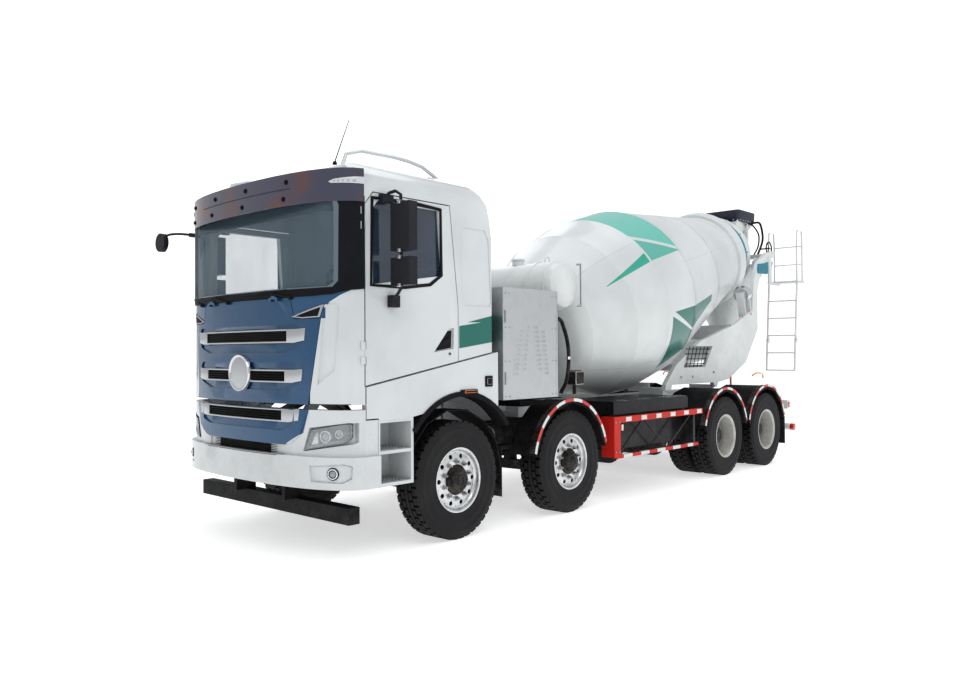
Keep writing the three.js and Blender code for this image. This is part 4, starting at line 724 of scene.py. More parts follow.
# %% Skins of the steelwork
SKINS = {
    "chassis_frame": (frame_paint, 0.004), "mixer_subframe": (mixer_paint, 0.004), "drive_motor": (frame_paint,
            0.006),
    "front_underrun_bar": (trim_black, 0.004), "rear_underrun_bar": (mixer_paint, 0.004),
    "front_axle_1": (frame_paint, 0.006), "front_axle_2": (frame_paint, 0.006), "rear_bogie": (frame_paint, 0.006),
    "knuckle_1_left": (frame_paint, 0.004), "knuckle_1_right": (frame_paint, 0.004),
    "knuckle_2_left": (frame_paint, 0.004), "knuckle_2_right": (frame_paint, 0.004),
    "steer_mudguards_left": (grained_black, 0.003), "steer_mudguards_right": (grained_black, 0.003),
    "rear_mudguards_left": (grained_black, 0.003), "rear_mudguards_right": (grained_black, 0.003),
    "side_box_left": (guard_paint, 0.004), "side_box_right": (guard_paint, 0.004),
    "cab_shell": (cab_paint, 0.006), "door_left": (cab_paint, 0.004), "door_right": (cab_paint, 0.004),
    "front_flap": (blue_paint, 0.005), "sun_visor": (visor_acrylic, 0.003),
    "windscreen": (screen_glass, 0.001), "door_glass_left": (door_glass, 0.001), "door_glass_right": (far_glass_painted_pale,
            0.001),
    "door_mirror_left": (mirror_grey, 0.012), "door_mirror_right": (mirror_grey, 0.012),
    "corner_mirror": (mirror_grey, 0.008), "dashboard": (grained_black, 0.010),
    "bumper": (bumper_paint, 0.008), "step_fender_left": (cab_paint, 0.005), "step_fender_right": (cab_paint, 0.005),
    "battery_cabinet": (cabinet_sheet, 0.004), "water_tank": (mixer_paint, 0.006),
    "drum_gearbox": (frame_paint, 0.006), "rear_support": (mixer_paint, 0.004),
    "drum_roller_left": (chrome, 0.003), "drum_roller_right": (chrome, 0.003),
    "discharge_funnel": (mixer_paint, 0.003), "hopper": (mixer_paint, 0.003), "chute_swivel": (mixer_paint, 0.003),
    "swing_chute": (mixer_paint, 0.003), "extension_chute": (mixer_paint, 0.003), "ladder": (mixer_paint, 0.002),
    "ladder_foot": (mixer_paint, 0.002),
}
for node, (finish, radius) in SKINS.items():
    refined(node, finish, bevel=radius)
print("skins:", len(SKINS))

# %% [markdown]
# ## Tyres
# A truck tyre is moulded rubber: a thin sidewall with a few fine rings, a square shoulder and a tread of ribs cut
# by slots. The section is spun once round the axle; then the rib faces, with every fourth row left out, are grown
# outwards, which leaves the round grooves and the cross slots between the blocks.

# %% Tyre maker
TREAD_BASE = 0.527
TYRE_SECTION = [
    (0.292, -0.128), (0.300, -0.138), (0.318, -0.142), (0.330, -0.140), (0.345, -0.1405), (0.380, -0.1435),
    (0.384, -0.1455), (0.390, -0.1455), (0.394, -0.1435), (0.425, -0.1445), (0.460, -0.1430), (0.464, -0.1445),
    (0.470, -0.1440), (0.474, -0.1415), (0.500, -0.1370), (0.518, -0.1300), (TREAD_BASE, -0.1230),
    (TREAD_BASE, -0.078), (TREAD_BASE, -0.068), (TREAD_BASE, -0.027), (TREAD_BASE, -0.018)]
RIBS = ((-0.124, -0.077), (-0.069, -0.026), (-0.019, 0.019), (0.026, 0.069), (0.077, 0.124))


def add_tyre(bm, centre, steps=160):
    """A tyre about the origin, grown and then moved to its axle."""
    part = bmesh.new()
    left = TYRE_SECTION
    right = [(r, -h) for r, h in reversed(TYRE_SECTION)]
    add_turned(part, left + right, Vector((0, 0, 0)), (1, 0, 0), steps=steps)
    raised = []
    for face in part.faces:
        middle = face.calc_center_median()
        radius = math.hypot(middle.y, middle.z)
        row = int(round((math.atan2(middle.z, middle.y) / math.tau) * steps - 0.5)) % steps
        for number, (low, high) in enumerate(RIBS):
            slot = (row + number * 2) % 4 == 0 and number != 2
            if radius > TREAD_BASE - 0.002 and low < middle.x < high and not slot:
                raised.append(face)
    grown = bmesh.ops.extrude_face_region(part, geom=raised)["geom"]
    verts = [g for g in grown if isinstance(g, bmesh.types.BMVert)]
    scale = 0.540 / TREAD_BASE
    bmesh.ops.scale(part, vec=(1, scale, scale), verts=verts)
    bmesh.ops.recalc_face_normals(part, faces=part.faces)
    bmesh.ops.translate(part, vec=centre, verts=part.verts)
    mesh = bpy.data.meshes.new("tyre")
    part.to_mesh(mesh)
    part.free()
    bm.from_mesh(mesh)
    bpy.data.meshes.remove(mesh)


def front_tyre(axle, side, sign):
    bm = bmesh.new()
    add_tyre(bm, at(sign * WHEEL_X, AXLE_Y[axle - 1], HUB_Z))
    piece(f"tyre_tread_{axle}_{side}", bm, f"front_wheel_{axle}_{side}", tyre_rubber, sharp=30,
          stands_for=[f"tyre_{axle}_{side}"])


AXLE_Y = (0, 1.75, 5.40, 6.75)
WHEEL_X = 1.080
TWIN_X = 0.915
for axle in (1, 2):
    front_tyre(axle, "left", 1)
    front_tyre(axle, "right", -1)
print("front tyres made")

# %% [markdown]
# ## Front wheels
# The steered wheels are forged and turned aluminium. The rim's section is spun, and the disc is ten equal fields,
# each a flat field bridged to its round hand hole, so that the holes are open. Ten nuts, a dark hub and its grease
# cap close the middle.

# %% Aluminium wheel maker
def add_holed_disc(bm, inner, outer, holes, hole_at, hole_radius, height, thick, points=24, index=0):
    """A disc in the YZ plane, its holes open; height(r) is how far the disc stands out at a radius."""
    half = math.pi / holes
    for number in range(holes):
        turn = number * 2 * half
        ring, edge = [], []
        for i in range(points):
            a = math.tau * i / points
            y, z = hole_at + hole_radius * math.cos(a), hole_radius * math.sin(a)
            ring.append((y, z))
            edge.append(field_edge(hole_at, a, inner, outer, half))
        front = []
        for loop in (ring, edge):
            verts = []
            for y, z in loop:
                r = math.hypot(y, z)
                angle = math.atan2(z, y) + turn
                verts.append(bm.verts.new((height(r), r * math.cos(angle), r * math.sin(angle))))
            front.append(verts)
        walls = [bm.verts.new(v.co + Vector((-thick, 0, 0))) for v in front[0]]
        for i in range(points):
            j = (i + 1) % points
            bm.faces.new((front[0][i], front[0][j], front[1][j], front[1][i])).material_index = index
            bm.faces.new((walls[i], walls[j], front[0][j], front[0][i])).material_index = index


def field_edge(start, a, inner, outer, half):
    """Where a ray from a hand hole's centre meets the edge of its field."""
    reach = 0.0
    step = 0.05
    dy, dz = math.cos(a), math.sin(a)
    for _ in range(60):
        y, z = start + (reach + step) * dy, (reach + step) * dz
        r = math.hypot(y, z)
        if inner <= r <= outer and abs(math.atan2(z, y)) <= half:
            reach += step
        else:
            step /= 2
    return start + reach * dy, reach * dz


def front_rim(axle, side, sign):
    bm = bmesh.new()
    barrel = [(0.226, 0.010), (0.235, -0.020), (0.262, -0.050), (0.266, -0.110), (0.272, -0.135), (0.296, -0.137),
              (0.299, -0.132), (0.296, -0.126), (0.280, -0.122), (0.276, -0.100), (0.270, -0.060), (0.262, 0.060),
              (0.270, 0.094), (0.276, 0.106), (0.280, 0.122), (0.296, 0.126), (0.299, 0.132), (0.296, 0.137),
              (0.284, 0.137), (0.276, 0.131), (0.270, 0.114), (0.262, 0.098), (0.256, 0.094), (0.250, 0.093)]
    add_turned(bm, barrel, Vector((0, 0, 0)), (1, 0, 0), steps=96)
    disc = bmesh.new()
    add_holed_disc(disc, 0.192, 0.2505, 10, 0.2205, 0.0215, lambda r: 0.093 + (0.2505 - r) * 0.12, 0.022)
    bmesh.ops.remove_doubles(disc, verts=disc.verts, dist=2e-4)
    bmesh.ops.recalc_face_normals(disc, faces=disc.faces)
    merge(bm, disc)
    add_turned(bm, [(0.192, 0.1000), (0.188, 0.1030), (0.140, 0.1035), (0.136, 0.1000), (0.136, 0.060)],
               Vector((0, 0, 0)), (1, 0, 0), steps=96)
    for k in range(10):
        a = math.tau * (k + 0.5) / 10
        place = Vector((0, 0.1675 * math.cos(a), 0.1675 * math.sin(a)))
        add_turned(bm, [(0.027, 0.1032), (0.0265, 0.1065), (0.017, 0.107), (0.0165, 0.128), (0.012, 0.134),
                (0.0, 0.134)],
                   place, (1, 0, 0), steps=6, index=1)
        add_turned(bm, [(0.0088, 0.134), (0.0085, 0.146), (0.0, 0.147)], place, (1, 0, 0), steps=10, index=1)
    hub = [(0.134, 0.060), (0.134, 0.112), (0.130, 0.118), (0.118, 0.120), (0.110, 0.126), (0.104, 0.150),
           (0.098, 0.158), (0.078, 0.160), (0.074, 0.163), (0.0, 0.164)]
    add_turned(bm, hub, Vector((0, 0, 0)), (1, 0, 0), steps=64, index=2)
    add_turned(bm, [(0.052, 0.160), (0.052, 0.170), (0.044, 0.174), (0.030, 0.1745), (0.026, 0.168), (0.0, 0.167)],
               Vector((0, 0, 0)), (1, 0, 0), steps=48, index=2)
    for k in range(8):
        a = math.tau * k / 8
        place = Vector((0, 0.084 * math.cos(a), 0.084 * math.sin(a)))
        add_turned(bm, [(0.0095, 0.158), (0.0095, 0.166), (0.0, 0.166)], place, (1, 0, 0), steps=6, index=2)
    add_turned(bm, [(0.225, -0.10), (0.225, 0.02), (0.20, 0.045), (0.134, 0.050)],
               Vector((0, 0, 0)), (1, 0, 0), steps=48, index=3)
    if sign < 0:
        bmesh.ops.scale(bm, vec=(-1, 1, 1), verts=bm.verts)
        bmesh.ops.reverse_faces(bm, faces=bm.faces)
    bmesh.ops.translate(bm, vec=at(sign * WHEEL_X, AXLE_Y[axle - 1], HUB_Z), verts=bm.verts)
    piece(f"alloy_wheel_{axle}_{side}", bm, f"front_wheel_{axle}_{side}",
          [wheel_alloy, nut_steel, hub_black, drum_brake], sharp=32,
          stands_for=[f"rim_{axle}_{side}"])


def merge(bm, other):
    mesh = bpy.data.meshes.new("part")
    other.to_mesh(mesh)
    other.free()
    bm.from_mesh(mesh)
    bpy.data.meshes.remove(mesh)


nut_steel = alloy_finish("wheel nuts", (0.42, 0.42, 0.42), 0.38, 0.6)
hub_black = coat("hub paint", (0.012, 0.012, 0.013), 0.30, dust=0.35, peel=0.0002)
drum_brake = coat("brake drum", (0.05, 0.035, 0.028), 0.75, metal=0.3, dust=0.6, peel=0.001, peel_scale=90)
for axle in (1, 2):
    front_rim(axle, "left", 1)
    front_rim(axle, "right", -1)
print("front wheels made")

# %% [markdown]
# ## Rear wheels
# Each rear end carries two tyres on deep steel rims. Seen from outside, the rim falls away to a disc far inside,
# with the axle's end in the middle.

# %% Twin wheel maker
def twin_wheel(axle, side, sign):
    bm = bmesh.new()
    for offset in (-0.170, 0.170):
        add_tyre(bm, Vector((offset, 0, 0)) - Vector((0, 0, 0)))
    for face in bm.faces:
        face.material_index = 0
    outer = [(0.150, 0.018), (0.205, 0.014), (0.224, 0.020), (0.240, 0.050), (0.254, 0.110), (0.262, 0.200),
             (0.270, 0.268), (0.276, 0.290), (0.280, 0.296), (0.294, 0.298), (0.298, 0.304), (0.296, 0.310),
             (0.284, 0.3105), (0.276, 0.304), (0.266, 0.292), (0.256, 0.200), (0.250, 0.150)]
    inner = [(0.150, -0.010), (0.224, -0.012), (0.250, -0.060), (0.262, -0.150), (0.276, -0.290), (0.296, -0.298),
             (0.298, -0.306), (0.284, -0.3105), (0.262, -0.300), (0.25, -0.16)]
    rings = [(0.286, 0.034), (0.298, 0.032), (0.286, 0.020), (0.262, 0.0), (0.286, -0.020), (0.298, -0.032)]
    for profile in (outer, inner, rings):
        add_turned(bm, profile, Vector((0, 0, 0)), (1, 0, 0), steps=80, index=1)
    for k in range(10):
        a = math.tau * (k + 0.5) / 10
        place = Vector((0, 0.1675 * math.cos(a), 0.1675 * math.sin(a)))
        add_turned(bm, [(0.026, 0.016), (0.0255, 0.024), (0.017, 0.025), (0.0165, 0.045), (0.011, 0.050),
                (0.0, 0.050)],
                   place, (1, 0, 0), steps=6, index=2)
        b = math.tau * k / 10
        hole = Vector((0, 0.232 * math.cos(b), 0.232 * math.sin(b)))
        add_turned(bm, [(0.021, 0.034), (0.019, 0.030), (0.0, 0.030)], hole, (1, 0, 0), steps=20, index=3)
    hub = [(0.146, 0.0), (0.146, 0.070), (0.138, 0.082), (0.124, 0.120), (0.118, 0.176), (0.112, 0.186),
            (0.098, 0.188),
           (0.094, 0.202), (0.060, 0.205), (0.054, 0.212), (0.0, 0.213)]
    add_turned(bm, hub, Vector((0, 0, 0)), (1, 0, 0), steps=56, index=3)
    for k in range(8):
        a = math.tau * k / 8
        place = Vector((0, 0.104 * math.cos(a), 0.104 * math.sin(a)))
        add_turned(bm, [(0.010, 0.184), (0.010, 0.196), (0.0, 0.197)], place, (1, 0, 0), steps=6, index=2)
    if sign < 0:
        bmesh.ops.scale(bm, vec=(-1, 1, 1), verts=bm.verts)
        bmesh.ops.reverse_faces(bm, faces=bm.faces)
    bmesh.ops.translate(bm, vec=at(sign * TWIN_X, AXLE_Y[axle - 1], HUB_Z), verts=bm.verts)
    piece(f"twin_tyres_{axle}_{side}", bm, f"twin_{axle}_{side}",
          [tyre_rubber, rear_rim_paint, nut_steel, hub_black], sharp=30,
          stands_for=[f"twin_wheel_{axle}_{side}"])


for axle in (3, 4):
    twin_wheel(axle, "left", 1)
    twin_wheel(axle, "right", -1)
print("rear wheels made")

# %% [markdown]
# ## Drum
# The drum is rolled and welded from cones and a short cylinder, so it is one spun section with a bead of weld at
# each joint, and a machined ring near its mouth that runs on the two rollers.

# %% Drum
def drum_point(s):
    return at(0, DRUM_SEAM[0] + s * math.cos(DRUM_TILT), DRUM_SEAM[1] + s * math.sin(DRUM_TILT))


def make_drum():
    bm = bmesh.new()
    axis = Vector((0, math.cos(DRUM_TILT), math.sin(DRUM_TILT)))
    head = [(0.0, -0.300), (0.22, -0.296), (0.40, -0.262), (0.58, -0.205), (0.72, -0.150), (0.80, -0.080)]
    cones = [(0.850, 0.0), (1.090, 0.620), (1.200, 1.200), (1.200, 1.900), (0.965, 3.10), (0.730, 4.300)]
    shell = list(head)
    for (r0, s0), (r1, s1) in zip([head[-1]] + cones, cones):
        length = s1 - s0
        count = max(1, round(length / 0.2))
        for i in range(1, count + 1):
            shell.append((r0 + (r1 - r0) * i / count, s0 + length * i / count))
        shell[-1] = (r1 - 0.0005, s1 - 0.010)
        shell += [(r1 + 0.0035, s1 - 0.003), (r1 + 0.0035, s1 + 0.003), (r1 - 0.0005, s1 + 0.010)]
    ring = [(0.734, 4.345), (0.776, 4.352), (0.780, 4.358), (0.780, 4.542), (0.776, 4.548), (0.700, 4.552)]
    mouth = [(0.650, 4.570), (0.622, 4.630), (0.610, 4.700), (0.610, 5.060), (0.618, 5.066), (0.618, 5.094),
             (0.610, 5.100), (0.598, 5.100), (0.598, 4.700), (0.640, 4.570), (0.715, 4.300), (1.185, 1.900),
             (1.185, 1.200), (1.075, 0.620), (0.835, 0.010), (0.70, -0.135), (0.0, -0.280)]
    add_turned(bm, shell + ring + mouth, drum_point(0), axis, steps=144)
    piece("drum_shell", bm, "drum_body", drum_paint, sharp=28, stands_for=["drum"])


make_drum()
print("drum made")

# %% [markdown]
# ## Cab front
# The front is one bowed, leaning surface. A panel that lies on it starts as a flat outline with a thickness, is cut
# at short steps and is then bent onto the surface, as a moulded trim follows the sheet it is clipped to.

# %% Front surface helpers
FRONT_PLAN = ((0.0, -1.520), (0.725, -1.520), (1.20625, -1.410), (1.250, -1.150))


def plan_point(t):
    weights = ((1 - t) ** 3, 3 * (1 - t) ** 2 * t, 3 * (1 - t) * t * t, t ** 3)
    return [sum(w * p[k] for w, p in zip(weights, FRONT_PLAN)) for k in (0, 1)]


PLAN = [plan_point(i / 200) for i in range(201)]


def front_place(x, z, out=0.0, leaning=True):
    """A point on the cab's front, or a distance off it; the visor stands upright, without the screen's lean."""
    side = -1 if x < 0 else 1
    reach = min(abs(x), 1.2499)
    number = next(i for i in range(1, 201) if PLAN[i][0] >= reach)
    (x0, y0), (x1, y1) = PLAN[number - 1], PLAN[number]
    y = y0 + (y1 - y0) * (reach - x0) / max(x1 - x0, 1e-9)
    normal = Vector((y1 - y0, -(x1 - x0))).normalized()
    lean = max(0.0, z - 2.17) * 0.1627 - 1.520
    if leaning and lean > y:
        y, normal = lean, Vector((0, -1))
    return Vector((side * (reach + normal.x * out), AXLE + y + normal.y * out, z))


def add_front_panel(bm, outline, low, high, index=0, bevel=0.0, step=0.06, leaning=True):
    """An (x, z) outline laid on the front, from one distance off it to another."""
    part = bmesh.new()
    face = part.faces.new([part.verts.new((x, -low, z)) for x, z in outline])
    grown = bmesh.ops.extrude_face_region(part, geom=[face])["geom"]
    bmesh.ops.translate(part, vec=(0, low - high, 0), verts=[g for g in grown if isinstance(g, bmesh.types.BMVert)])
    if bevel:
        edges = [e for e in part.edges if e.calc_face_angle(0) > 0.5]
        bmesh.ops.bevel(part, geom=edges, offset=bevel, segments=2, profile=0.5, affect="EDGES", material=-1)
    xs = [v.co.x for v in part.verts]
    cuts = int((max(xs) - min(xs)) / step)
    for i in range(1, cuts + 1):
        x = min(xs) + (max(xs) - min(xs)) * i / (cuts + 1)
        geom = part.verts[:] + part.edges[:] + part.faces[:]
        bmesh.ops.bisect_plane(part, geom=geom, plane_co=(x, 0, 0), plane_no=(1, 0, 0), dist=1e-5)
    for vert in part.verts:
        vert.co = front_place(vert.co.x, vert.co.z, -vert.co.y, leaning)
    bmesh.ops.recalc_face_normals(part, faces=part.faces)
    for face in part.faces:
        face.material_index = index
    merge(bm, part)


def both(outline):
    """An outline's right half, mirrored and closed over x = 0."""
    return list(outline) + [(-x, z) for x, z in reversed(outline)]


def add_honeycomb(bm, half_low, half_high, z0, z1, size, out, index=0):
    """Rows of open six-sided cells between two sloping ends."""
    rise = size * 0.866
    rows = int((z1 - z0) / rise)
    for row in range(rows):
        z = z0 + rise * (row + 0.5)
        half = half_low + (half_high - half_low) * (z - z0) / (z1 - z0) - size / 2
        shift = size / 2 if row % 2 else 0
        for number in range(-int(half / size) - 1, int(half / size) + 2):
            x = number * size + shift
            if abs(x) > half:
                continue
            loops = []
            for radius, depth in ((size * 0.577, 0.0), (size * 0.44, 0.0), (size * 0.42, -0.012)):
                corners = [(x + radius * math.sin(k * math.pi / 3),
                        z + radius * math.cos(k * math.pi / 3)) for k in range(6)]
                loops.append([bm.verts.new(front_place(a, b, out + depth)) for a, b in corners])
            for first, second in zip(loops, loops[1:]):
                for k in range(6):
                    j = (k + 1) % 6
                    bm.faces.new((first[k], first[j], second[j], second[k])).material_index = index


def add_front_ring(bm, outer, inner, low, high, index=0):
    """A band between two outlines of as many points, as four-sided panels laid on the front."""
    for i in range(len(outer)):
        j = (i + 1) % len(outer)
        add_front_panel(bm, [outer[i], outer[j], inner[j], inner[i]], low, high, index)


print("front at x = 1.0:", [round(v, 3) for v in front_place(1.0, 1.5)])

# %% [markdown]
# Three grilles cross the nose. The upper one is a flat mesh and the lower two are honeycombs, each in a bright
# frame whose ends rise outwards. They are moulded and clipped into the panel's recesses.

# %% Grilles, disc and accents
mesh_black = coat("grille mesh", (0.012, 0.012, 0.013), 0.5, dust=0.2, peel=0.003, peel_scale=420)


def add_grille(bm, half_low, half_high, z0, z1, out, comb):
    frame_w = 0.014
    end = 0.085
    outer = both([(half_low, z0), (half_high, z0 + 0.02), (half_high + 0.012, z1 + 0.006), (half_low + 0.06, z1)])
    add_front_panel(bm, both([(half_low + 0.02, z0 + 0.006), (half_high - 0.02, z1 - 0.006)]), out - 0.015,
            out - 0.013, 1)
    add_front_panel(bm, both([(half_low - end, z0), (half_low - end + 0.01, z0 + frame_w)]), out - 0.01,
            out + 0.006, 0, 0.002)
    add_front_panel(bm, both([(half_low - end, z1 - frame_w), (half_low - end, z1)]), out - 0.01, out + 0.006, 0,
            0.002)
    for s in (1, -1):
        block = [(s * (half_low - end), z0), (s * half_low, z0), (s * half_high, z0 + 0.018),
                 (s * (half_high + 0.012), z1 + 0.006), (s * (half_low + 0.02), z1), (s * (half_low - end), z1)]
        add_front_panel(bm, block, out - 0.01, out + 0.007, 0, 0.003)
    if comb:
        add_honeycomb(bm, half_low - end, half_low - end, z0 + frame_w, z1 - frame_w, 0.023, out + 0.002, 1)
    else:
        for i in range(5):
            z = z0 + frame_w + (z1 - z0 - 2 * frame_w) * (i + 0.5) / 5
            add_front_panel(bm, both([(half_low - end, z - 0.004), (half_low - end, z + 0.004)]), out - 0.012,
                    out - 0.002, 1)
    return outer


bm = bmesh.new()
add_grille(bm, 0.725, 0.835, 1.788, 1.903, 0.0, False)
add_grille(bm, 0.700, 0.805, 1.455, 1.565, 0.0, True)
piece("nose_grilles", bm, "flap_body", [silver_trim, mesh_black])
bm = bmesh.new()
add_grille(bm, 0.665, 0.775, 1.128, 1.238, 0.004, True)
piece("bumper_grille", bm, "chassis", [silver_trim, mesh_black])

bm = bmesh.new()
add_turned(bm, [(0.166, -0.002), (0.166, 0.020), (0.160, 0.029), (0.149, 0.030), (0.142, 0.026), (0.138, 0.0195),
                (0.120, 0.0215), (0.070, 0.0240), (0.0, 0.0250)], at(0, -1.5205, 1.531), (0, -1, 0), steps=72)
for face in bm.faces:
    middle = face.calc_center_median() - at(0, -1.52, 1.531)
    face.material_index = 1 if math.hypot(middle.x, middle.z) < 0.139 else 0
piece("nose_disc", bm, "flap_body", [chrome, silver_trim])

bm = bmesh.new()
for s in (1, -1):
    slit = [(0.700, 2.004), (0.812, 1.988), (0.984, 1.995), (1.020, 2.098), (0.990, 2.090)]
    inner = [(0.742, 2.006), (0.815, 1.998), (0.968, 2.004), (0.992, 2.076), (0.975, 2.072)]
    slit = [(s * x, z) for x, z in slit]
    inner = [(s * x, z) for x, z in inner]
    add_front_ring(bm, slit, inner, 0.001, 0.007, 0)
    add_front_panel(bm, inner, 0.001, 0.003, 1)
piece("corner_slits", bm, "flap_body", [silver_trim, mesh_black])
print("grilles made")

# %% [markdown]
# The windscreen sits in a black printed border and three wipers park along its foot. The tinted visor is held by
# bolts with washers, and a clear marker strip wraps the corner of the truck.

# %% Screen border, wipers, visor bolts
marker_clear = coat("clear marker", (0.62, 0.64, 0.66), 0.08, dust=0.0, clear=1.0, peel=0.0005, peel_scale=300)
edge_glass = coat("printed glass edge", (0.115, 0.155, 0.190), 0.06, dust=0.05, clear=1.0, peel=0.0001)


def add_path(bm, points, radius, index=0, steps=1):
    add_tube(bm, [(p[0], p[1] - AXLE, p[2]) for p in points], radius, steps=steps, sides=8, index=index)


def add_wiper(bm, pivot, elbow, left, right):
    knee = front_place(*elbow, 0.030)
    base = front_place(*pivot, 0.012)
    add_path(bm, [base, front_place(*pivot, 0.028), knee], 0.007)
    add_turned(bm, [(0.020, -0.014), (0.020, 0.008), (0.014, 0.018), (0.0, 0.020)], base, (0, -1, 0), steps=16)
    blade = [front_place(left[0] + (right[0] - left[0]) * i / 8, left[1] + (right[1] - left[1]) * i / 8, 0.012)
             for i in range(9)]
    add_path(bm, blade, 0.0075)
    add_path(bm, [blade[3] + Vector((0, -0.012, 0)), blade[4] + Vector((0, -0.022, 0)),
            blade[5] + Vector((0, -0.012, 0))], 0.006)


bm = bmesh.new()
outer = both([(0.90, 2.168), (1.086, 2.180), (1.2495, 2.222), (1.2495, 2.975), (1.10, 3.000)])
middle = both([(0.90, 2.232), (1.090, 2.236), (1.130, 2.285), (1.135, 2.900), (1.10, 2.990)])
inner = both([(0.90, 2.242), (1.050, 2.244), (1.098, 2.276), (1.098, 2.900), (1.08, 2.985)])
add_front_ring(bm, outer, middle, 0.001, 0.012, 0)
add_front_ring(bm, middle, inner, -0.006, 0.011, 1)
add_front_panel(bm, both([(1.10, 2.862), (1.10, 2.990)]), -0.036, -0.032, 0)
piece("screen_border", bm, "cab", [trim_black, edge_glass])

bm = bmesh.new()
add_wiper(bm, (0.690, 2.166), (0.470, 2.205), (0.02, 2.212), (0.640, 2.228))
add_wiper(bm, (-0.205, 2.163), (-0.42, 2.205), (-0.690, 2.212), (-0.215, 2.228))
add_wiper(bm, (-0.74, 2.163), (-0.90, 2.205), (-1.10, 2.235), (-0.73, 2.228))
piece("wipers", bm, "cab", trim_black)

bm = bmesh.new()
for row, z in (((0.652, 0.099, -0.430, -0.960), 3.128), ((0.618, 0.045, -0.500, -1.000), 2.990)):
    for x in row:
        place = front_place(x, z, 0.0165, False)
        outwards = place - front_place(x, z, 0.0, False)
        add_turned(bm, [(0.021, 0.0), (0.021, 0.005), (0.011, 0.006), (0.011, 0.013), (0.0, 0.014)], place,
                outwards, steps=14)
add_front_panel(bm, both([(0.690, 3.068), (0.700, 3.073)]), 0.0165, 0.0190, 1, leaning=False)
for s in (1, -1):
    strip = [(s * 1.062, 3.088), (s * 1.085, 3.076), (s * 1.2495, 3.072), (s * 1.2495, 3.130), (s * 1.100, 3.108)]
    add_front_panel(bm, strip, 0.0165, 0.0215, 2, 0.001, 0.02, leaning=False)
    for k in range(5):
        x = 1.10 + k * 0.028
        add_front_panel(bm, [(s * x, 3.082), (s * (x + 0.014), 3.082), (s * (x + 0.014), 3.104), (s * x, 3.100)],
                0.0215, 0.0230, 3, leaning=False)
piece("visor_bolts", bm, "cab", [trim_black, mirror_grey, marker_clear, chrome])
print("wipers and bolts made")

# %% [markdown]
# Each headlamp is a clear cover over a black bowl with a projector, and below it sits a small fog lamp. The cover is a
# moulded panel that closes the pocket in the bumper, and the projector is turned.

# %% Lamps
def add_projector(bm, x, z, radius, out, lens=2):
    place = front_place(x, z, out)
    outwards = front_place(x, z, out + 0.1) - place
    r = radius
    add_turned(bm, [(r, -0.020), (r, 0.0), (r * 0.93, 0.004), (r * 0.78, 0.004), (r * 0.72, -0.004),
            (r * 0.70, -0.014),
                    (0.0, -0.015)], place, outwards, steps=40, index=0)
    add_turned(bm, [(r * 0.69, -0.012), (r * 0.62, 0.000), (r * 0.42, 0.009), (r * 0.2, 0.013), (0.0, 0.014)],
               place, outwards, steps=40, index=lens)


bm = bmesh.new()
for s in (1, -1):
    lamp = [(0.838, 0.905), (1.168, 0.972), (1.212, 1.020), (1.212, 1.128), (1.165, 1.128), (0.905, 1.078)]
    inner = [(0.858, 0.922), (1.158, 0.986), (1.194, 1.028), (1.194, 1.112), (1.160, 1.112), (0.912, 1.062)]
    lamp = [(s * x, z) for x, z in lamp]
    inner = [(s * x, z) for x, z in inner]
    add_front_panel(bm, lamp, -0.042, -0.038, 1)
    add_front_ring(bm, lamp, inner, -0.038, 0.002, 1)
    add_projector(bm, s * 1.020, 1.022, 0.052, -0.014)
    add_projector(bm, s * 1.128, 1.045, 0.036, -0.018)
    add_front_panel(bm, [(s * 0.875, 0.945), (s * 0.955, 0.962), (s * 0.955, 1.058), (s * 0.915, 1.050)], -0.036,
            -0.020, 0, 0.003)
    add_front_panel(bm, [(s * 0.862, 0.926), (s * 1.155, 0.990), (s * 1.155, 0.998), (s * 0.865, 0.935)], -0.034,
            -0.008, 2)
    fog = [(0.955, 0.668), (1.172, 0.668), (1.205, 0.705), (1.205, 0.782), (1.178, 0.800), (0.940, 0.778)]
    fog = [(s * x, z) for x, z in fog]
    add_front_panel(bm, fog, 0.0225, 0.0235, 3)
    add_turned(bm, [(0.052, 0.0), (0.052, 0.004), (0.044, 0.006), (0.0, 0.006)],
            front_place(s * 1.095, 0.728, 0.022), front_place(s * 1.095, 0.728, 1.0) - front_place(s * 1.095, 0.728,
            0.0), steps=28, index=1)
    add_projector(bm, s * 1.095, 0.728, 0.044, 0.034)
piece("lamp_bowls", bm, "chassis", [chrome, trim_black, lens_clear, bumper_paint])

bm = bmesh.new()
for s in (1, -1):
    cover = [(s * x, z) for x, z in [(0.842, 0.908), (1.166, 0.974), (1.209, 1.021), (1.209, 1.126), (1.165, 1.126),
            (0.907, 1.075)]]
    add_front_panel(bm, cover, 0.003, 0.006, 0, 0.001)
piece("lamp_covers", bm, "chassis", lens_glass)

bm = bmesh.new()
add_front_panel(bm, both([(0.552, 0.856), (0.556, 0.932)]), -0.030, -0.026, 0)
for i in range(5):
    z = 0.868 + i * 0.014
    add_front_panel(bm, both([(0.55, z), (0.55, z + 0.004)]), -0.026, -0.018, 0)
add_front_panel(bm, both([(0.62, 0.8545), (0.62, 0.8640)]), 0.001, 0.0385, 2, 0.001)
piece("bumper_step", bm, "chassis", [mesh_black, trim_black, tread_plate])
print("lamps made")

# %% [markdown]
# ## Cab sides
# Round the side windows run rubber seals, and each door has a black pull in its pocket. Small things are fixed to
# the sill and the arch: an amber marker lamp, a square bracket and the arch's dark lip. All are modelled once on
# the left side and mirrored.

# %% Door seals, pulls and sill pieces
WINDOW = [(-1.061, 2.975), (-1.076, 2.259), (-0.70, 2.262), (-0.40, 2.300), (-0.255, 2.392), (-0.262, 2.97),
        (-0.60, 2.985)]


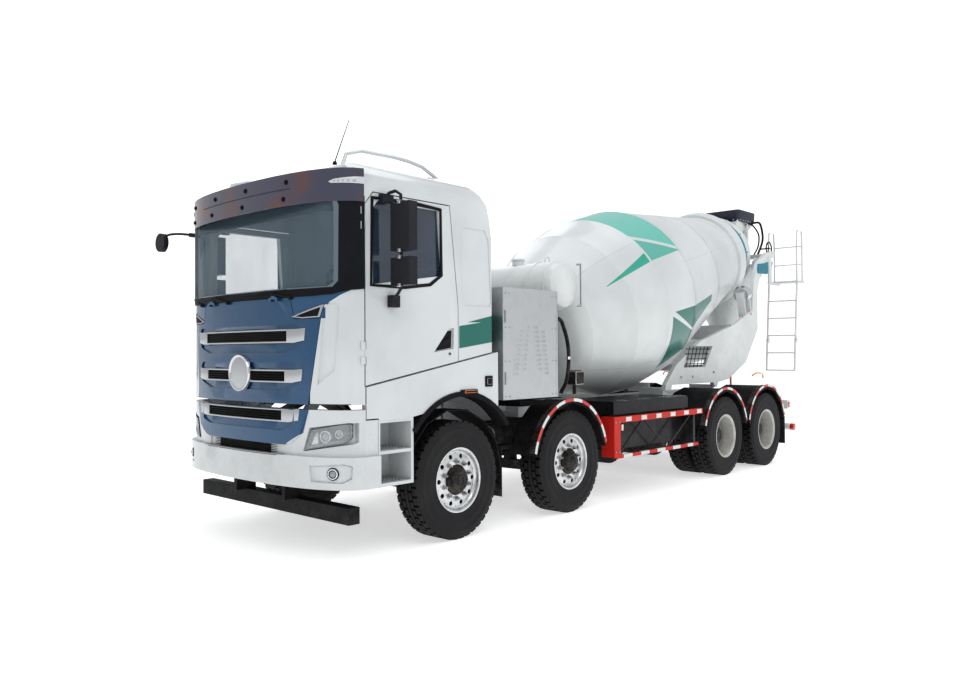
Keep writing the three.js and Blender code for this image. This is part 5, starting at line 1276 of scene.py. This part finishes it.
def grown_outline(outline, distance):
    cy = sum(p[0] for p in outline) / len(outline)
    cz = sum(p[1] for p in outline) / len(outline)
    grown = []
    for y, z in outline:
        away = Vector((y - cy, z - cz))
        grown.append((y + away.normalized().x * distance, z + away.normalized().y * distance))
    return grown


def add_side_ring(bm, outer, inner, x0, x1, index=0):
    for i in range(len(outer)):
        j = (i + 1) % len(outer)
        add_outline(bm, [outer[i], outer[j], inner[j], inner[i]], "X", x0, x1, index=index)


for side, sign in (("left", 1), ("right", -1)):
    bm = bmesh.new()
    add_side_ring(bm, grown_outline(WINDOW, 0.020), grown_outline(WINDOW, -0.012), 1.244, 1.2535, 0)
    add_outline(bm, [(-0.335, 1.715), (-0.115, 1.745), (-0.105, 1.900), (-0.165, 1.895)], "X", 1.226, 1.232, 0.002, 1)
    add_outline(bm, [(-0.300, 1.752), (-0.135, 1.792), (-0.135, 1.838), (-0.285, 1.802)], "X", 1.231, 1.248, 0.006, 0)
    add_rod(bm, (1.246, -0.150, 1.690), (1.256, -0.150, 1.690), 0.014, 20, index=2, bevel=0.002)
    if sign < 0:
        bmesh.ops.scale(bm, vec=(-1, 1, 1), verts=bm.verts)
        bmesh.ops.reverse_faces(bm, faces=bm.faces)
    piece(f"door_trim_{side}", bm, f"door_{side}_body", [trim_black, grained_black, chrome])
print("door trims made")

# %% Sill, arch lip and marker lamp
bm = bmesh.new()
lip_out, lip_in = [], []
for i in range(17):
    a = math.radians(142 - i * 6.6)
    lip_out.append((0.02 + 0.808 * math.cos(a), 0.540 + 0.808 * math.sin(a)))
    lip_in.append((0.02 + 0.762 * math.cos(a), 0.540 + 0.762 * math.sin(a)))
for i in range(16):
    add_outline(bm, [lip_out[i], lip_out[i + 1], lip_in[i + 1], lip_in[i]], "X", 1.100, 1.262, index=0)
add_block(bm, 1.248, 1.268, -0.012, 0.212, 1.322, 1.362, 0.006, 2, 0)
add_block(bm, 1.264, 1.276, 0.030, 0.190, 1.330, 1.356, 0.005, 3, 1)
add_block(bm, 1.245, 1.262, 0.330, 0.430, 1.380, 1.480, 0.004, 2, 0)
add_block(bm, 1.260, 1.266, 0.350, 0.410, 1.400, 1.460, 0.003, 2, 2)
mirror_x(bm)
piece("arch_lips", bm, "chassis", [grained_black, orange_lens, silver_trim])

bm = bmesh.new()
for z, y1 in ((0.621, -0.632), (0.8915, -0.632)):
    add_block(bm, 0.965, 1.238, -0.975, y1 - 0.003, z, z + 0.006, 0.002, 1, 0)
    for k in range(9):
        y = -0.955 + k * 0.037
        for j in range(7):
            add_rod(bm, (0.99 + j * 0.037, y, z + 0.005), (0.99 + j * 0.037, y, z + 0.010), 0.008, 10, 0.006, index=0)
add_rod(bm, (1.10, -0.800, 0.868), (1.10, -0.800, 0.884), 0.006, 10, index=1)
mirror_x(bm)
piece("step_treads", bm, "chassis", [tread_plate, nut_steel])
print("sill pieces made")

# %% [markdown]
# The mirrors' heads carry flat glasses behind, the door mirrors a large one over a wide-angle one. A whip aerial
# stands on the roof's front corner.

# %% Mirror glasses and aerial
for side, sign in (("left", 1), ("right", -1)):
    bm = bmesh.new()
    add_block(bm, 1.365, 1.550, -0.861, -0.856, 2.560, 2.905, 0.002, 1, 0)
    add_block(bm, 1.365, 1.550, -0.861, -0.856, 2.270, 2.460, 0.002, 1, 0)
    for z in (2.535, 2.930, 2.250, 2.480):
        add_block(bm, 1.425, 1.475, -0.958, -0.948, z - 0.018, z + 0.018, 0.004, 2, 1)
    if sign < 0:
        bmesh.ops.scale(bm, vec=(-1, 1, 1), verts=bm.verts)
        bmesh.ops.reverse_faces(bm, faces=bm.faces)
    piece(f"mirror_glass_{side}", bm, f"door_{side}_body", [mirror_glass, mirror_grey])

bm = bmesh.new()
add_rod(bm, (0.800, -1.095, 3.318), (0.800, -1.095, 3.345), 0.022, 20, 0.014, index=0, bevel=0.003)
add_rod(bm, (0.800, -1.095, 3.340), (0.905, -1.020, 3.700), 0.005, 8, 0.003, index=0)
piece("roof_aerial", bm, "cab", trim_black)
print("mirror glasses made")

# %% [markdown]
# ## Inside the cab
# Through the clear screen one sees the seats, the wheel and the sun blinds. The seats are sewn cushions over foam:
# each is a side outline made thick, with its edges rounded.

# %% Seats
def add_cushion(bm, outline, x0, x1, bevel):
    part = bmesh.new()
    add_outline(part, outline, "X", x0, x1, bevel)
    merge(bm, part)


bm = bmesh.new()
for s in (1, -1):
    for x0, x1 in ((0.330, 0.830),):
        lo, hi = (x0, x1) if s > 0 else (-x1, -x0)
        add_cushion(bm, [(-0.575, 1.735), (0.025, 1.735), (0.025, 1.862), (-0.30, 1.850), (-0.540, 1.885),
                (-0.578, 1.850)], lo, hi, 0.028)
        add_cushion(bm, [(-0.060, 1.868), (0.065, 1.868), (0.185, 2.500), (0.150, 2.512), (0.085, 2.500)], lo, hi,
                0.030)
        mid = (lo + hi) / 2
        add_cushion(bm, [(0.105, 2.540), (0.195, 2.540), (0.198, 2.680), (0.120, 2.688)], mid - 0.135, mid + 0.135,
                0.026)
seat = piece("seat_cushions", bm, "cab", seat_cloth, sharp=50)
bm = bmesh.new()
for s in (1, -1):
    lo, hi = (0.335, 0.825) if s > 0 else (-0.825, -0.335)
    add_block(bm, lo, hi, -0.555, 0.015, 1.532, 1.725, 0.020, 3, 0)
    mid = (lo + hi) / 2
    for x in (mid - 0.06, mid + 0.06):
        add_rod(bm, (x, 0.150, 2.470), (x, 0.152, 2.560), 0.007, 12, index=1)
    for k in range(4):
        add_block(bm, lo + 0.02, hi - 0.02, -0.560, -0.553, 1.56 + k * 0.04, 1.58 + k * 0.04, 0.003, 1, 0)
add_block(bm, -0.345, 0.345, -0.495, -0.005, 1.532, 1.698, 0.03, 3, 0)
piece("seat_bases", bm, "cab", [grained_black, chrome], stands_for=["seats"])
print("seats made")

# %% [markdown]
# ## Battery cabinet
# The cabinet is folded aluminium sheet. Its doors carry four columns of pressed louvres, screws along the edges and
# two plain hinges, and each louvre is a small hood that is pushed out of the sheet.

# %% Cabinet louvres, screws and strips
def add_louvre(bm, x, y, z, tilt, index=0):
    half, rise, out = 0.040, 0.020, 0.010
    line = [(-half, 0), (-half * 0.8, rise * 0.8), (0, rise), (half * 0.8, rise * 0.8), (half, 0)]
    c, s = math.cos(tilt), math.sin(tilt)
    base = [bm.verts.new(at(x, y + a * c - b * s, z + a * s + b * c)) for a, b in line]
    lip = [bm.verts.new(at(x + out * (1 - abs(a) / half * 0.7), y + a * c + 0.002 * s, z + a * s - 0.002)) for a,
            b in line]
    for i in range(4):
        bm.faces.new((base[i + 1], base[i], lip[i], lip[i + 1])).material_index = index


bm = bmesh.new()
for top_y, top_z, low_y, low_z in ((0.862, 1.905, 0.796, 1.485), (0.972, 1.950, 0.918, 1.530),
                                   (1.118, 1.950, 1.172, 1.530), (1.228, 1.905, 1.294, 1.485)):
    for k in range(10):
        t = k / 9
        lean = 0.10 if top_y < 1.0 else -0.10
        add_louvre(bm, 1.2452, top_y + (low_y - top_y) * t, top_z + (low_z - top_z) * t, lean, 0)
for z in (2.275, 1.945, 1.615, 1.275):
    for y in (0.640, 0.700, 1.392, 1.452):
        add_rod(bm, (1.2445, y, z), (1.2492, y, z), 0.0085, 6, 0.007, index=1)
add_block(bm, 1.2445, 1.2475, 0.603, 0.622, 1.245, 2.330, 0.001, 1, 2)
add_block(bm, 1.2445, 1.2475, 1.468, 1.487, 1.245, 2.330, 0.001, 1, 2)
add_block(bm, 1.2445, 1.2475, 0.622, 1.468, 2.308, 2.330, 0.001, 1, 2)
add_block(bm, 1.2445, 1.2475, 0.622, 1.468, 1.245, 1.262, 0.001, 1, 2)
for z in (2.05, 1.45):
    add_rod(bm, (1.250, 0.634, z - 0.06), (1.250, 0.634, z + 0.06), 0.008, 12, index=1)
mirror_x(bm)
for k in range(3):
    add_block(bm, -0.90 + k * 0.65, -0.40 + k * 0.65, 0.5955, 0.5995, 1.40, 2.20, 0.001, 1, 0)
bmesh.ops.recalc_face_normals(bm, faces=bm.faces)
piece("cabinet_louvres", bm, "chassis", [cabinet_sheet, nut_steel, cabinet_sheet])

bm = bmesh.new()
add_block(bm, 1.02, 1.235, 1.496, 1.512, 1.25, 2.20, 0.003, 1, 0)
for s in (1, -1):
    add_tube(bm, [(s * 1.10, 1.515, 2.06), (s * 1.14, 1.66, 2.055), (s * 1.15, 1.735, 1.95), (s * 1.15, 1.800, 1.78),
                  (s * 1.15, 1.812, 1.60), (s * 1.13, 1.80, 1.40), (s * 1.08, 1.76, 1.26)], 0.020, 6, 12, 0)
    add_tube(bm, [(s * 1.05, 1.515, 1.92), (s * 1.08, 1.60, 1.90), (s * 1.09, 1.66, 1.78), (s * 1.08, 1.67, 1.50),
                  (s * 1.02, 1.66, 1.28)], 0.014, 6, 12, 0)
    add_rod(bm, (s * 1.15, 1.806, 1.655), (s * 1.15, 1.809, 1.625), 0.025, 16, index=1)
    add_block(bm, s * 1.00, s * 1.14, 1.96, 2.12, 1.345, 1.490, 0.008, 2, 2)
    add_block(bm, s * 1.02, s * 1.12, 1.98, 2.10, 1.488, 1.500, 0.004, 2, 0)
    add_rod(bm, (s * 1.06, 2.04, 1.240), (s * 1.06, 2.04, 1.346), 0.022, 12, index=2)
piece("side_hoses", bm, "chassis", [rubber_black, chrome, silver_trim])
print("cabinet details made")

# %% [markdown]
# ## Water tank
# The tank is a rolled shell with pressed ends. Two steel straps hold it down, a sight tube stands at its end and two
# lifting eyes and a filler neck are welded on top.

# %% Tank fittings
bm = bmesh.new()
TANK_AT = (2.020, 2.450)
for x in (-0.62, 0.62):
    add_turned(bm, [(0.2703, -0.025), (0.276, -0.025), (0.276, 0.025), (0.2703, 0.025)], at(x, *TANK_AT), (1, 0, 0),
            steps=64, closed=True)
for x in (-0.86, 0.86):
    add_turned(bm, [(0.2698, -0.008), (0.2745, -0.004), (0.2745, 0.004), (0.2698, 0.008)], at(x, *TANK_AT),
            (1, 0, 0), steps=64, closed=True)
for x in (-0.72, 0.72):
    add_tube(bm, [(x, 1.975, 2.712), (x, 1.985, 2.762), (x, 2.020, 2.785), (x, 2.055, 2.762), (x, 2.065, 2.712)],
            0.008, 6, 8)
add_rod(bm, (0.30, 2.020, 2.715), (0.30, 2.020, 2.765), 0.070, 40, index=0)
add_rod(bm, (0.30, 2.020, 2.765), (0.30, 2.020, 2.790), 0.082, 40, 0.074, index=1, bevel=0.004)
for s in (1, -1):
    add_rod(bm, (s * 1.02, 2.235, 2.225), (s * 1.02, 2.235, 2.690), 0.009, 12, index=2)
    for z in (2.225, 2.690):
        add_rod(bm, (s * 0.985, 2.205, z), (s * 1.03, 2.240, z), 0.012, 12, index=1)
piece("tank_fittings", bm, "chassis", [mixer_paint, nut_steel, lens_clear])
print("tank fittings made")

# %% [markdown]
# ## Guards, tape and blocks
# Red and white tape runs round the mudguards' edges and white reflectors are screwed to the red side rail. The tape
# is a thin band on the arch, and its colours change with the angle round the axle.

# %% Mudguard tape, rail reflectors, corner lamps
def add_arch_band(bm, centre, radius, width, start, stop, x0, x1, index=0, steps=28):
    for i in range(steps):
        a = math.radians(start + (stop - start) * i / steps)
        b = math.radians(start + (stop - start) * (i + 1) / steps)
        outline = [(centre + r * math.cos(t), HUB_Z + r * math.sin(t)) for r, t in
                   ((radius, a), (radius, b), (radius + width, b), (radius + width, a))]
        add_outline(bm, outline, "X", x0, x1, index=index)


tapes = {1: arc_tape_finish("tape round axle 2", 1.75, 0.24), 2: arc_tape_finish("tape round axle 3", 5.40, 0.24),
         3: arc_tape_finish("tape round axle 4", 6.75, 0.24)}
for axle, radius, first, last in ((1, 0.650, 14, 168), (2, 0.650, 16, 164), (3, 0.650, 16, 164)):
    bm = bmesh.new()
    add_arch_band(bm, AXLE_Y[axle], radius - 0.012, 0.034, first, last, 1.2400, 1.2435)
    add_arch_band(bm, AXLE_Y[axle], radius + 0.004, 0.006, first, last, 1.16, 1.2405, 1)
    mirror_x(bm)
    bmesh.ops.recalc_face_normals(bm, faces=bm.faces)
    piece(f"guard_tape_{axle + 1}", bm, "chassis", [tapes[axle], rubber_black])

bm = bmesh.new()
for k in range(6):
    y = 2.80 + k * 0.345
    add_block(bm, 1.2395, 1.2445, y, y + 0.125, 0.900, 0.952, 0.003, 2, 0)
    for dy in (0.012, 0.113):
        add_rod(bm, (1.244, y + dy, 0.926), (1.2465, y + dy, 0.926), 0.005, 8, index=1)
for z in (0.56, 0.90):
    for y in (2.585, 2.665):
        add_rod(bm, (1.2395, y, z), (1.2475, y, z), 0.011, 6, index=1)
add_block(bm, 1.2395, 1.246, 2.700, 2.745, 0.800, 0.872, 0.003, 2, 2)
for y in (2.95, 3.45, 3.95, 4.35):
    add_block(bm, 1.02, 1.17, y - 0.015, y + 0.015, 1.128, 1.1345, 0.002, 1, 3)
    add_rod(bm, (1.10, y, 1.134), (1.10, y, 1.142), 0.010, 6, index=1)
mirror_x(bm)
piece("rail_reflectors", bm, "chassis", [white_block, nut_steel, orange_lens, frame_paint])

bm = bmesh.new()
for s in (1, -1):
    add_block(bm, s * 0.875, s * 1.185, 7.7005, 7.712, 0.812, 0.918, 0.006, 3, 0)
    add_block(bm, s * 0.980, s * 1.080, 7.711, 7.716, 0.822, 0.908, 0.004, 2, 1)
    add_block(bm, s * 1.2005, s * 1.206, 7.610, 7.690, 0.825, 0.905, 0.003, 2, 1)
    add_rod(bm, (s * 1.212, 7.85, 0.500), (s * 1.150, 7.85, 0.500), 0.0535, 32, index=1, bevel=0.003)
piece("tail_lamps", bm, "chassis", [red_lens, orange_lens])
print("tapes and reflectors made")

# %% [markdown]
# ## Chassis clutter
# Behind the guards hang air tanks, battery brackets and pipes, dark and dusty, which fill the gaps between the wheels.
# Bolts in rows hold the subframe's plates, and black clamps tie it to the rails.

# %% Air tanks, clamps, mud flaps
bm = bmesh.new()
for s in (1, -1):
    for y in (2.15, 3.05, 3.95, 4.95, 5.95, 6.95):
        add_block(bm, s * 0.4255, s * 0.4400, y - 0.035, y + 0.035, 0.800, 1.070, 0.003, 1, 0)
        for z in (0.84, 0.90, 1.02):
            add_rod(bm, (s * 0.439, y, z), (s * 0.452, y, z), 0.012, 6, index=1)
    for y0 in (0.76, 1.10):
        add_rod(bm, (s * 0.60, y0 - 0.14, 0.815), (s * 0.60, y0 + 0.16, 0.815), 0.105, 32, index=0, bevel=0.018)
        add_turned(bm, [(0.1055, -0.012), (0.109, -0.012), (0.109, 0.012), (0.1055, 0.012)],
                at(s * 0.60, y0, 0.815), (0, 1, 0), steps=32, index=1, closed=True)
        add_block(bm, s * 0.4255, s * 0.520, y0 - 0.02, y0 + 0.02, 0.79, 0.84, 0.003, 1, 0)
    for z, y0, y1 in ((0.925, 0.50, 4.40), (0.900, 0.50, 4.40), (0.925, 4.60, 7.30)):
        add_tube(bm, [(s * 0.434, y0, z), (s * 0.436, (y0 + y1) / 2, z - 0.006), (s * 0.434, y1, z)], 0.007, 8, 8, 2)
piece("frame_clamps", bm, "chassis", [frame_paint, nut_steel, rubber_black])

bm = bmesh.new()
for s in (1, -1):
    part = bmesh.new()
    add_outline(part, [(s * 0.905, 0.300), (s * 1.175, 0.300), (s * 1.175, 0.780), (s * 0.905, 0.780)], "Y", 0.654,
            0.660, 0.002)
    merge(bm, part)
    for x in (0.93, 1.04, 1.15):
        add_rod(bm, (s * x, 0.660, 0.745), (s * x, 0.667, 0.745), 0.010, 6, index=1)
piece("mud_flaps", bm, "chassis", [rubber_black, nut_steel])
print("chassis clutter made")

# %% [markdown]
# ## Rear fittings
# The charging hopper ends in a rubber rim clamped by a row of bright bolts. A hand wheel, hoses and a blue guard sit
# beside the drum's mouth, and orange handles lock the chute.

# %% Hopper rim and mouth fittings
navy_rubber = coat("navy hopper rubber", (0.012, 0.016, 0.040), 0.42, dust=0.25, dust_top=5, peel=0.0006,
        peel_scale=120)
rim_bolts = coat("rim bolts", (0.62, 0.62, 0.60), 0.4, metal=0.7, dust=0.2, dust_top=5)


def rounded_ring(half, front, rear, radius, steps=6):
    ring = []
    for cx, cy, start in ((half - radius, rear - radius, 0), (-half + radius, rear - radius, 90),
                          (-half + radius, front + radius, 180), (half - radius, front + radius, 270)):
        for i in range(steps + 1):
            a = math.radians(start + 90 * i / steps)
            ring.append((cx + radius * math.cos(a), cy + radius * math.sin(a)))
    return ring


bm = bmesh.new()
layers = [(0.431, 7.599, 8.201, 3.845), (0.452, 7.578, 8.222, 3.900), (0.458, 7.572, 8.228, 4.020),
          (0.450, 7.580, 8.220, 4.0385), (0.428, 7.602, 8.198, 4.0385), (0.4175, 7.6125, 8.1875, 4.030), (0.4165,
                  7.6135, 8.1865, 3.850)]
loops = []
for half, front, rear, z in layers:
    loops.append([bm.verts.new(at(x, y, z)) for x, y in rounded_ring(half, front, rear, 0.05)])
for first, second in zip(loops, loops[1:]):
    for i in range(len(first)):
        j = (i + 1) % len(first)
        bm.faces.new((first[i], first[j], second[j], second[i]))
bmesh.ops.recalc_face_normals(bm, faces=bm.faces)
for y in [7.66 + i * 0.096 for i in range(6)]:
    for s in (1, -1):
        add_rod(bm, (s * 0.440, y, 3.874), (s * 0.4545, y, 3.874), 0.012, 10, 0.009, index=1)
for x in [-0.36 + i * 0.103 for i in range(8)]:
    for y, d in ((7.588, -1), (8.212, 1)):
        add_rod(bm, (x, y, 3.874), (x, y + d * 0.0145, 3.874), 0.012, 10, 0.009, index=1)
piece("hopper_rim", bm, "chassis", [navy_rubber, rim_bolts])

bm = bmesh.new()
wheel_at = at(0.700, 8.170, 3.420)
for radius in (0.105,):
    profile = [(radius + 0.011 * math.cos(t), 0.011 * math.sin(t)) for t in [math.tau * i / 10 for i in range(10)]]
    add_turned(bm, profile, wheel_at, (1, 0, 0), steps=40, closed=True)
for k in range(3):
    a = math.tau * k / 3
    add_rod(bm, (0.700, 8.170, 3.420), (0.700, 8.170 + 0.1 * math.cos(a), 3.420 + 0.1 * math.sin(a)), 0.007, 8)
add_rod(bm, (0.560, 8.170, 3.420), (0.712, 8.170, 3.420), 0.012, 12, index=1)
add_tube(bm, [(0.445, 8.10, 3.86), (0.50, 8.26, 3.88), (0.50, 8.37, 3.78), (0.50, 8.40, 3.60), (0.48, 8.30, 3.40),
        (0.46, 8.12, 3.18)], 0.018, 8, 12, 0)
add_tube(bm, [(0.445, 7.98, 3.84), (0.48, 8.10, 3.80), (0.52, 8.20, 3.66), (0.53, 8.14, 3.46), (0.50, 8.02, 3.30)],
        0.012, 8, 12, 0)
piece("mouth_hoses", bm, "chassis", [rubber_black, nut_steel])
print("mouth fittings made")

# %% Drum collar bands, blue guard, chute handles
bm = bmesh.new()
axis = Vector((0, math.cos(DRUM_TILT), math.sin(DRUM_TILT)))
add_turned(bm, [(0.6105, 4.74), (0.6145, 4.74), (0.6145, 4.96), (0.6105, 4.96)], drum_point(0), axis, steps=96,
        closed=True)
for k in range(12):
    a = math.tau * k / 12
    up = Vector((0, -math.sin(DRUM_TILT), math.cos(DRUM_TILT)))
    place = drum_point(4.99) + up * (0.611 * math.sin(a)) + Vector((1, 0, 0)) * (0.611 * math.cos(a))
    outwards = up * math.sin(a) + Vector((1, 0, 0)) * math.cos(a)
    add_turned(bm, [(0.014, 0.0), (0.014, 0.006), (0.008, 0.010), (0.0, 0.011)], place, outwards, steps=6, index=1)
piece("collar_band", bm, "drum_body", [teal_panel, nut_steel])

bm = bmesh.new()
for s in (1, -1):
    guard = [(7.560, 2.960), (7.900, 2.965), (8.100, 3.030), (8.160, 3.180), (8.080, 3.205), (7.820, 3.140),
            (7.560, 3.110)]
    part = bmesh.new()
    add_outline(part, guard, "X", s * 0.7625, s * 0.7685, 0.002)
    merge(bm, part)
    for y, z in ((7.60, 3.03), (8.06, 3.14)):
        add_rod(bm, (s * 0.768, y, z), (s * 0.777, y, z), 0.012, 6, index=1)
piece("blue_guards", bm, "chassis", [teal_panel, nut_steel])

bm = bmesh.new()
for s in (1, -1):
    for y0, y1 in ((5.17, 5.93),):
        for k in range(4):
            z = 1.53 + k * 0.07
            add_rod(bm, (s * 0.730, 5.10 + (z - 1.48) * 0.50, z), (s * 0.730, 5.75 + (z - 1.48) * 0.767, z), 0.006,
                    8, index=1)
    for k in range(6):
        y = 5.22 + k * 0.11
        add_rod(bm, (s * 0.730, y, 1.482), (s * 0.730, y + 0.12, 1.778), 0.005, 8, index=1)
    for y, z in ((5.02, 1.35), (5.35, 1.35), (6.0, 1.40), (6.55, 2.10), (7.0, 2.25), (7.3, 2.30)):
        add_rod(bm, (s * 0.7595, y, z), (s * 0.7700, y, z), 0.017, 6, index=2)
    add_tube(bm, [(s * 0.775, 7.30, 1.32), (s * 0.80, 7.40, 1.36), (s * 0.80, 7.62, 1.34), (s * 0.775, 7.70, 1.28)],
            0.011, 6, 10, 0)
add_rod(bm, (0.420, 7.300, 1.130), (0.420, 7.300, 1.330), 0.016, 12, index=0)
add_block(bm, 0.385, 0.455, 7.265, 7.335, 1.082, 1.135, 0.006, 2, 2)
piece("support_fittings", bm, "chassis", [orange_lens, frame_paint, nut_steel])
print("rear fittings made")
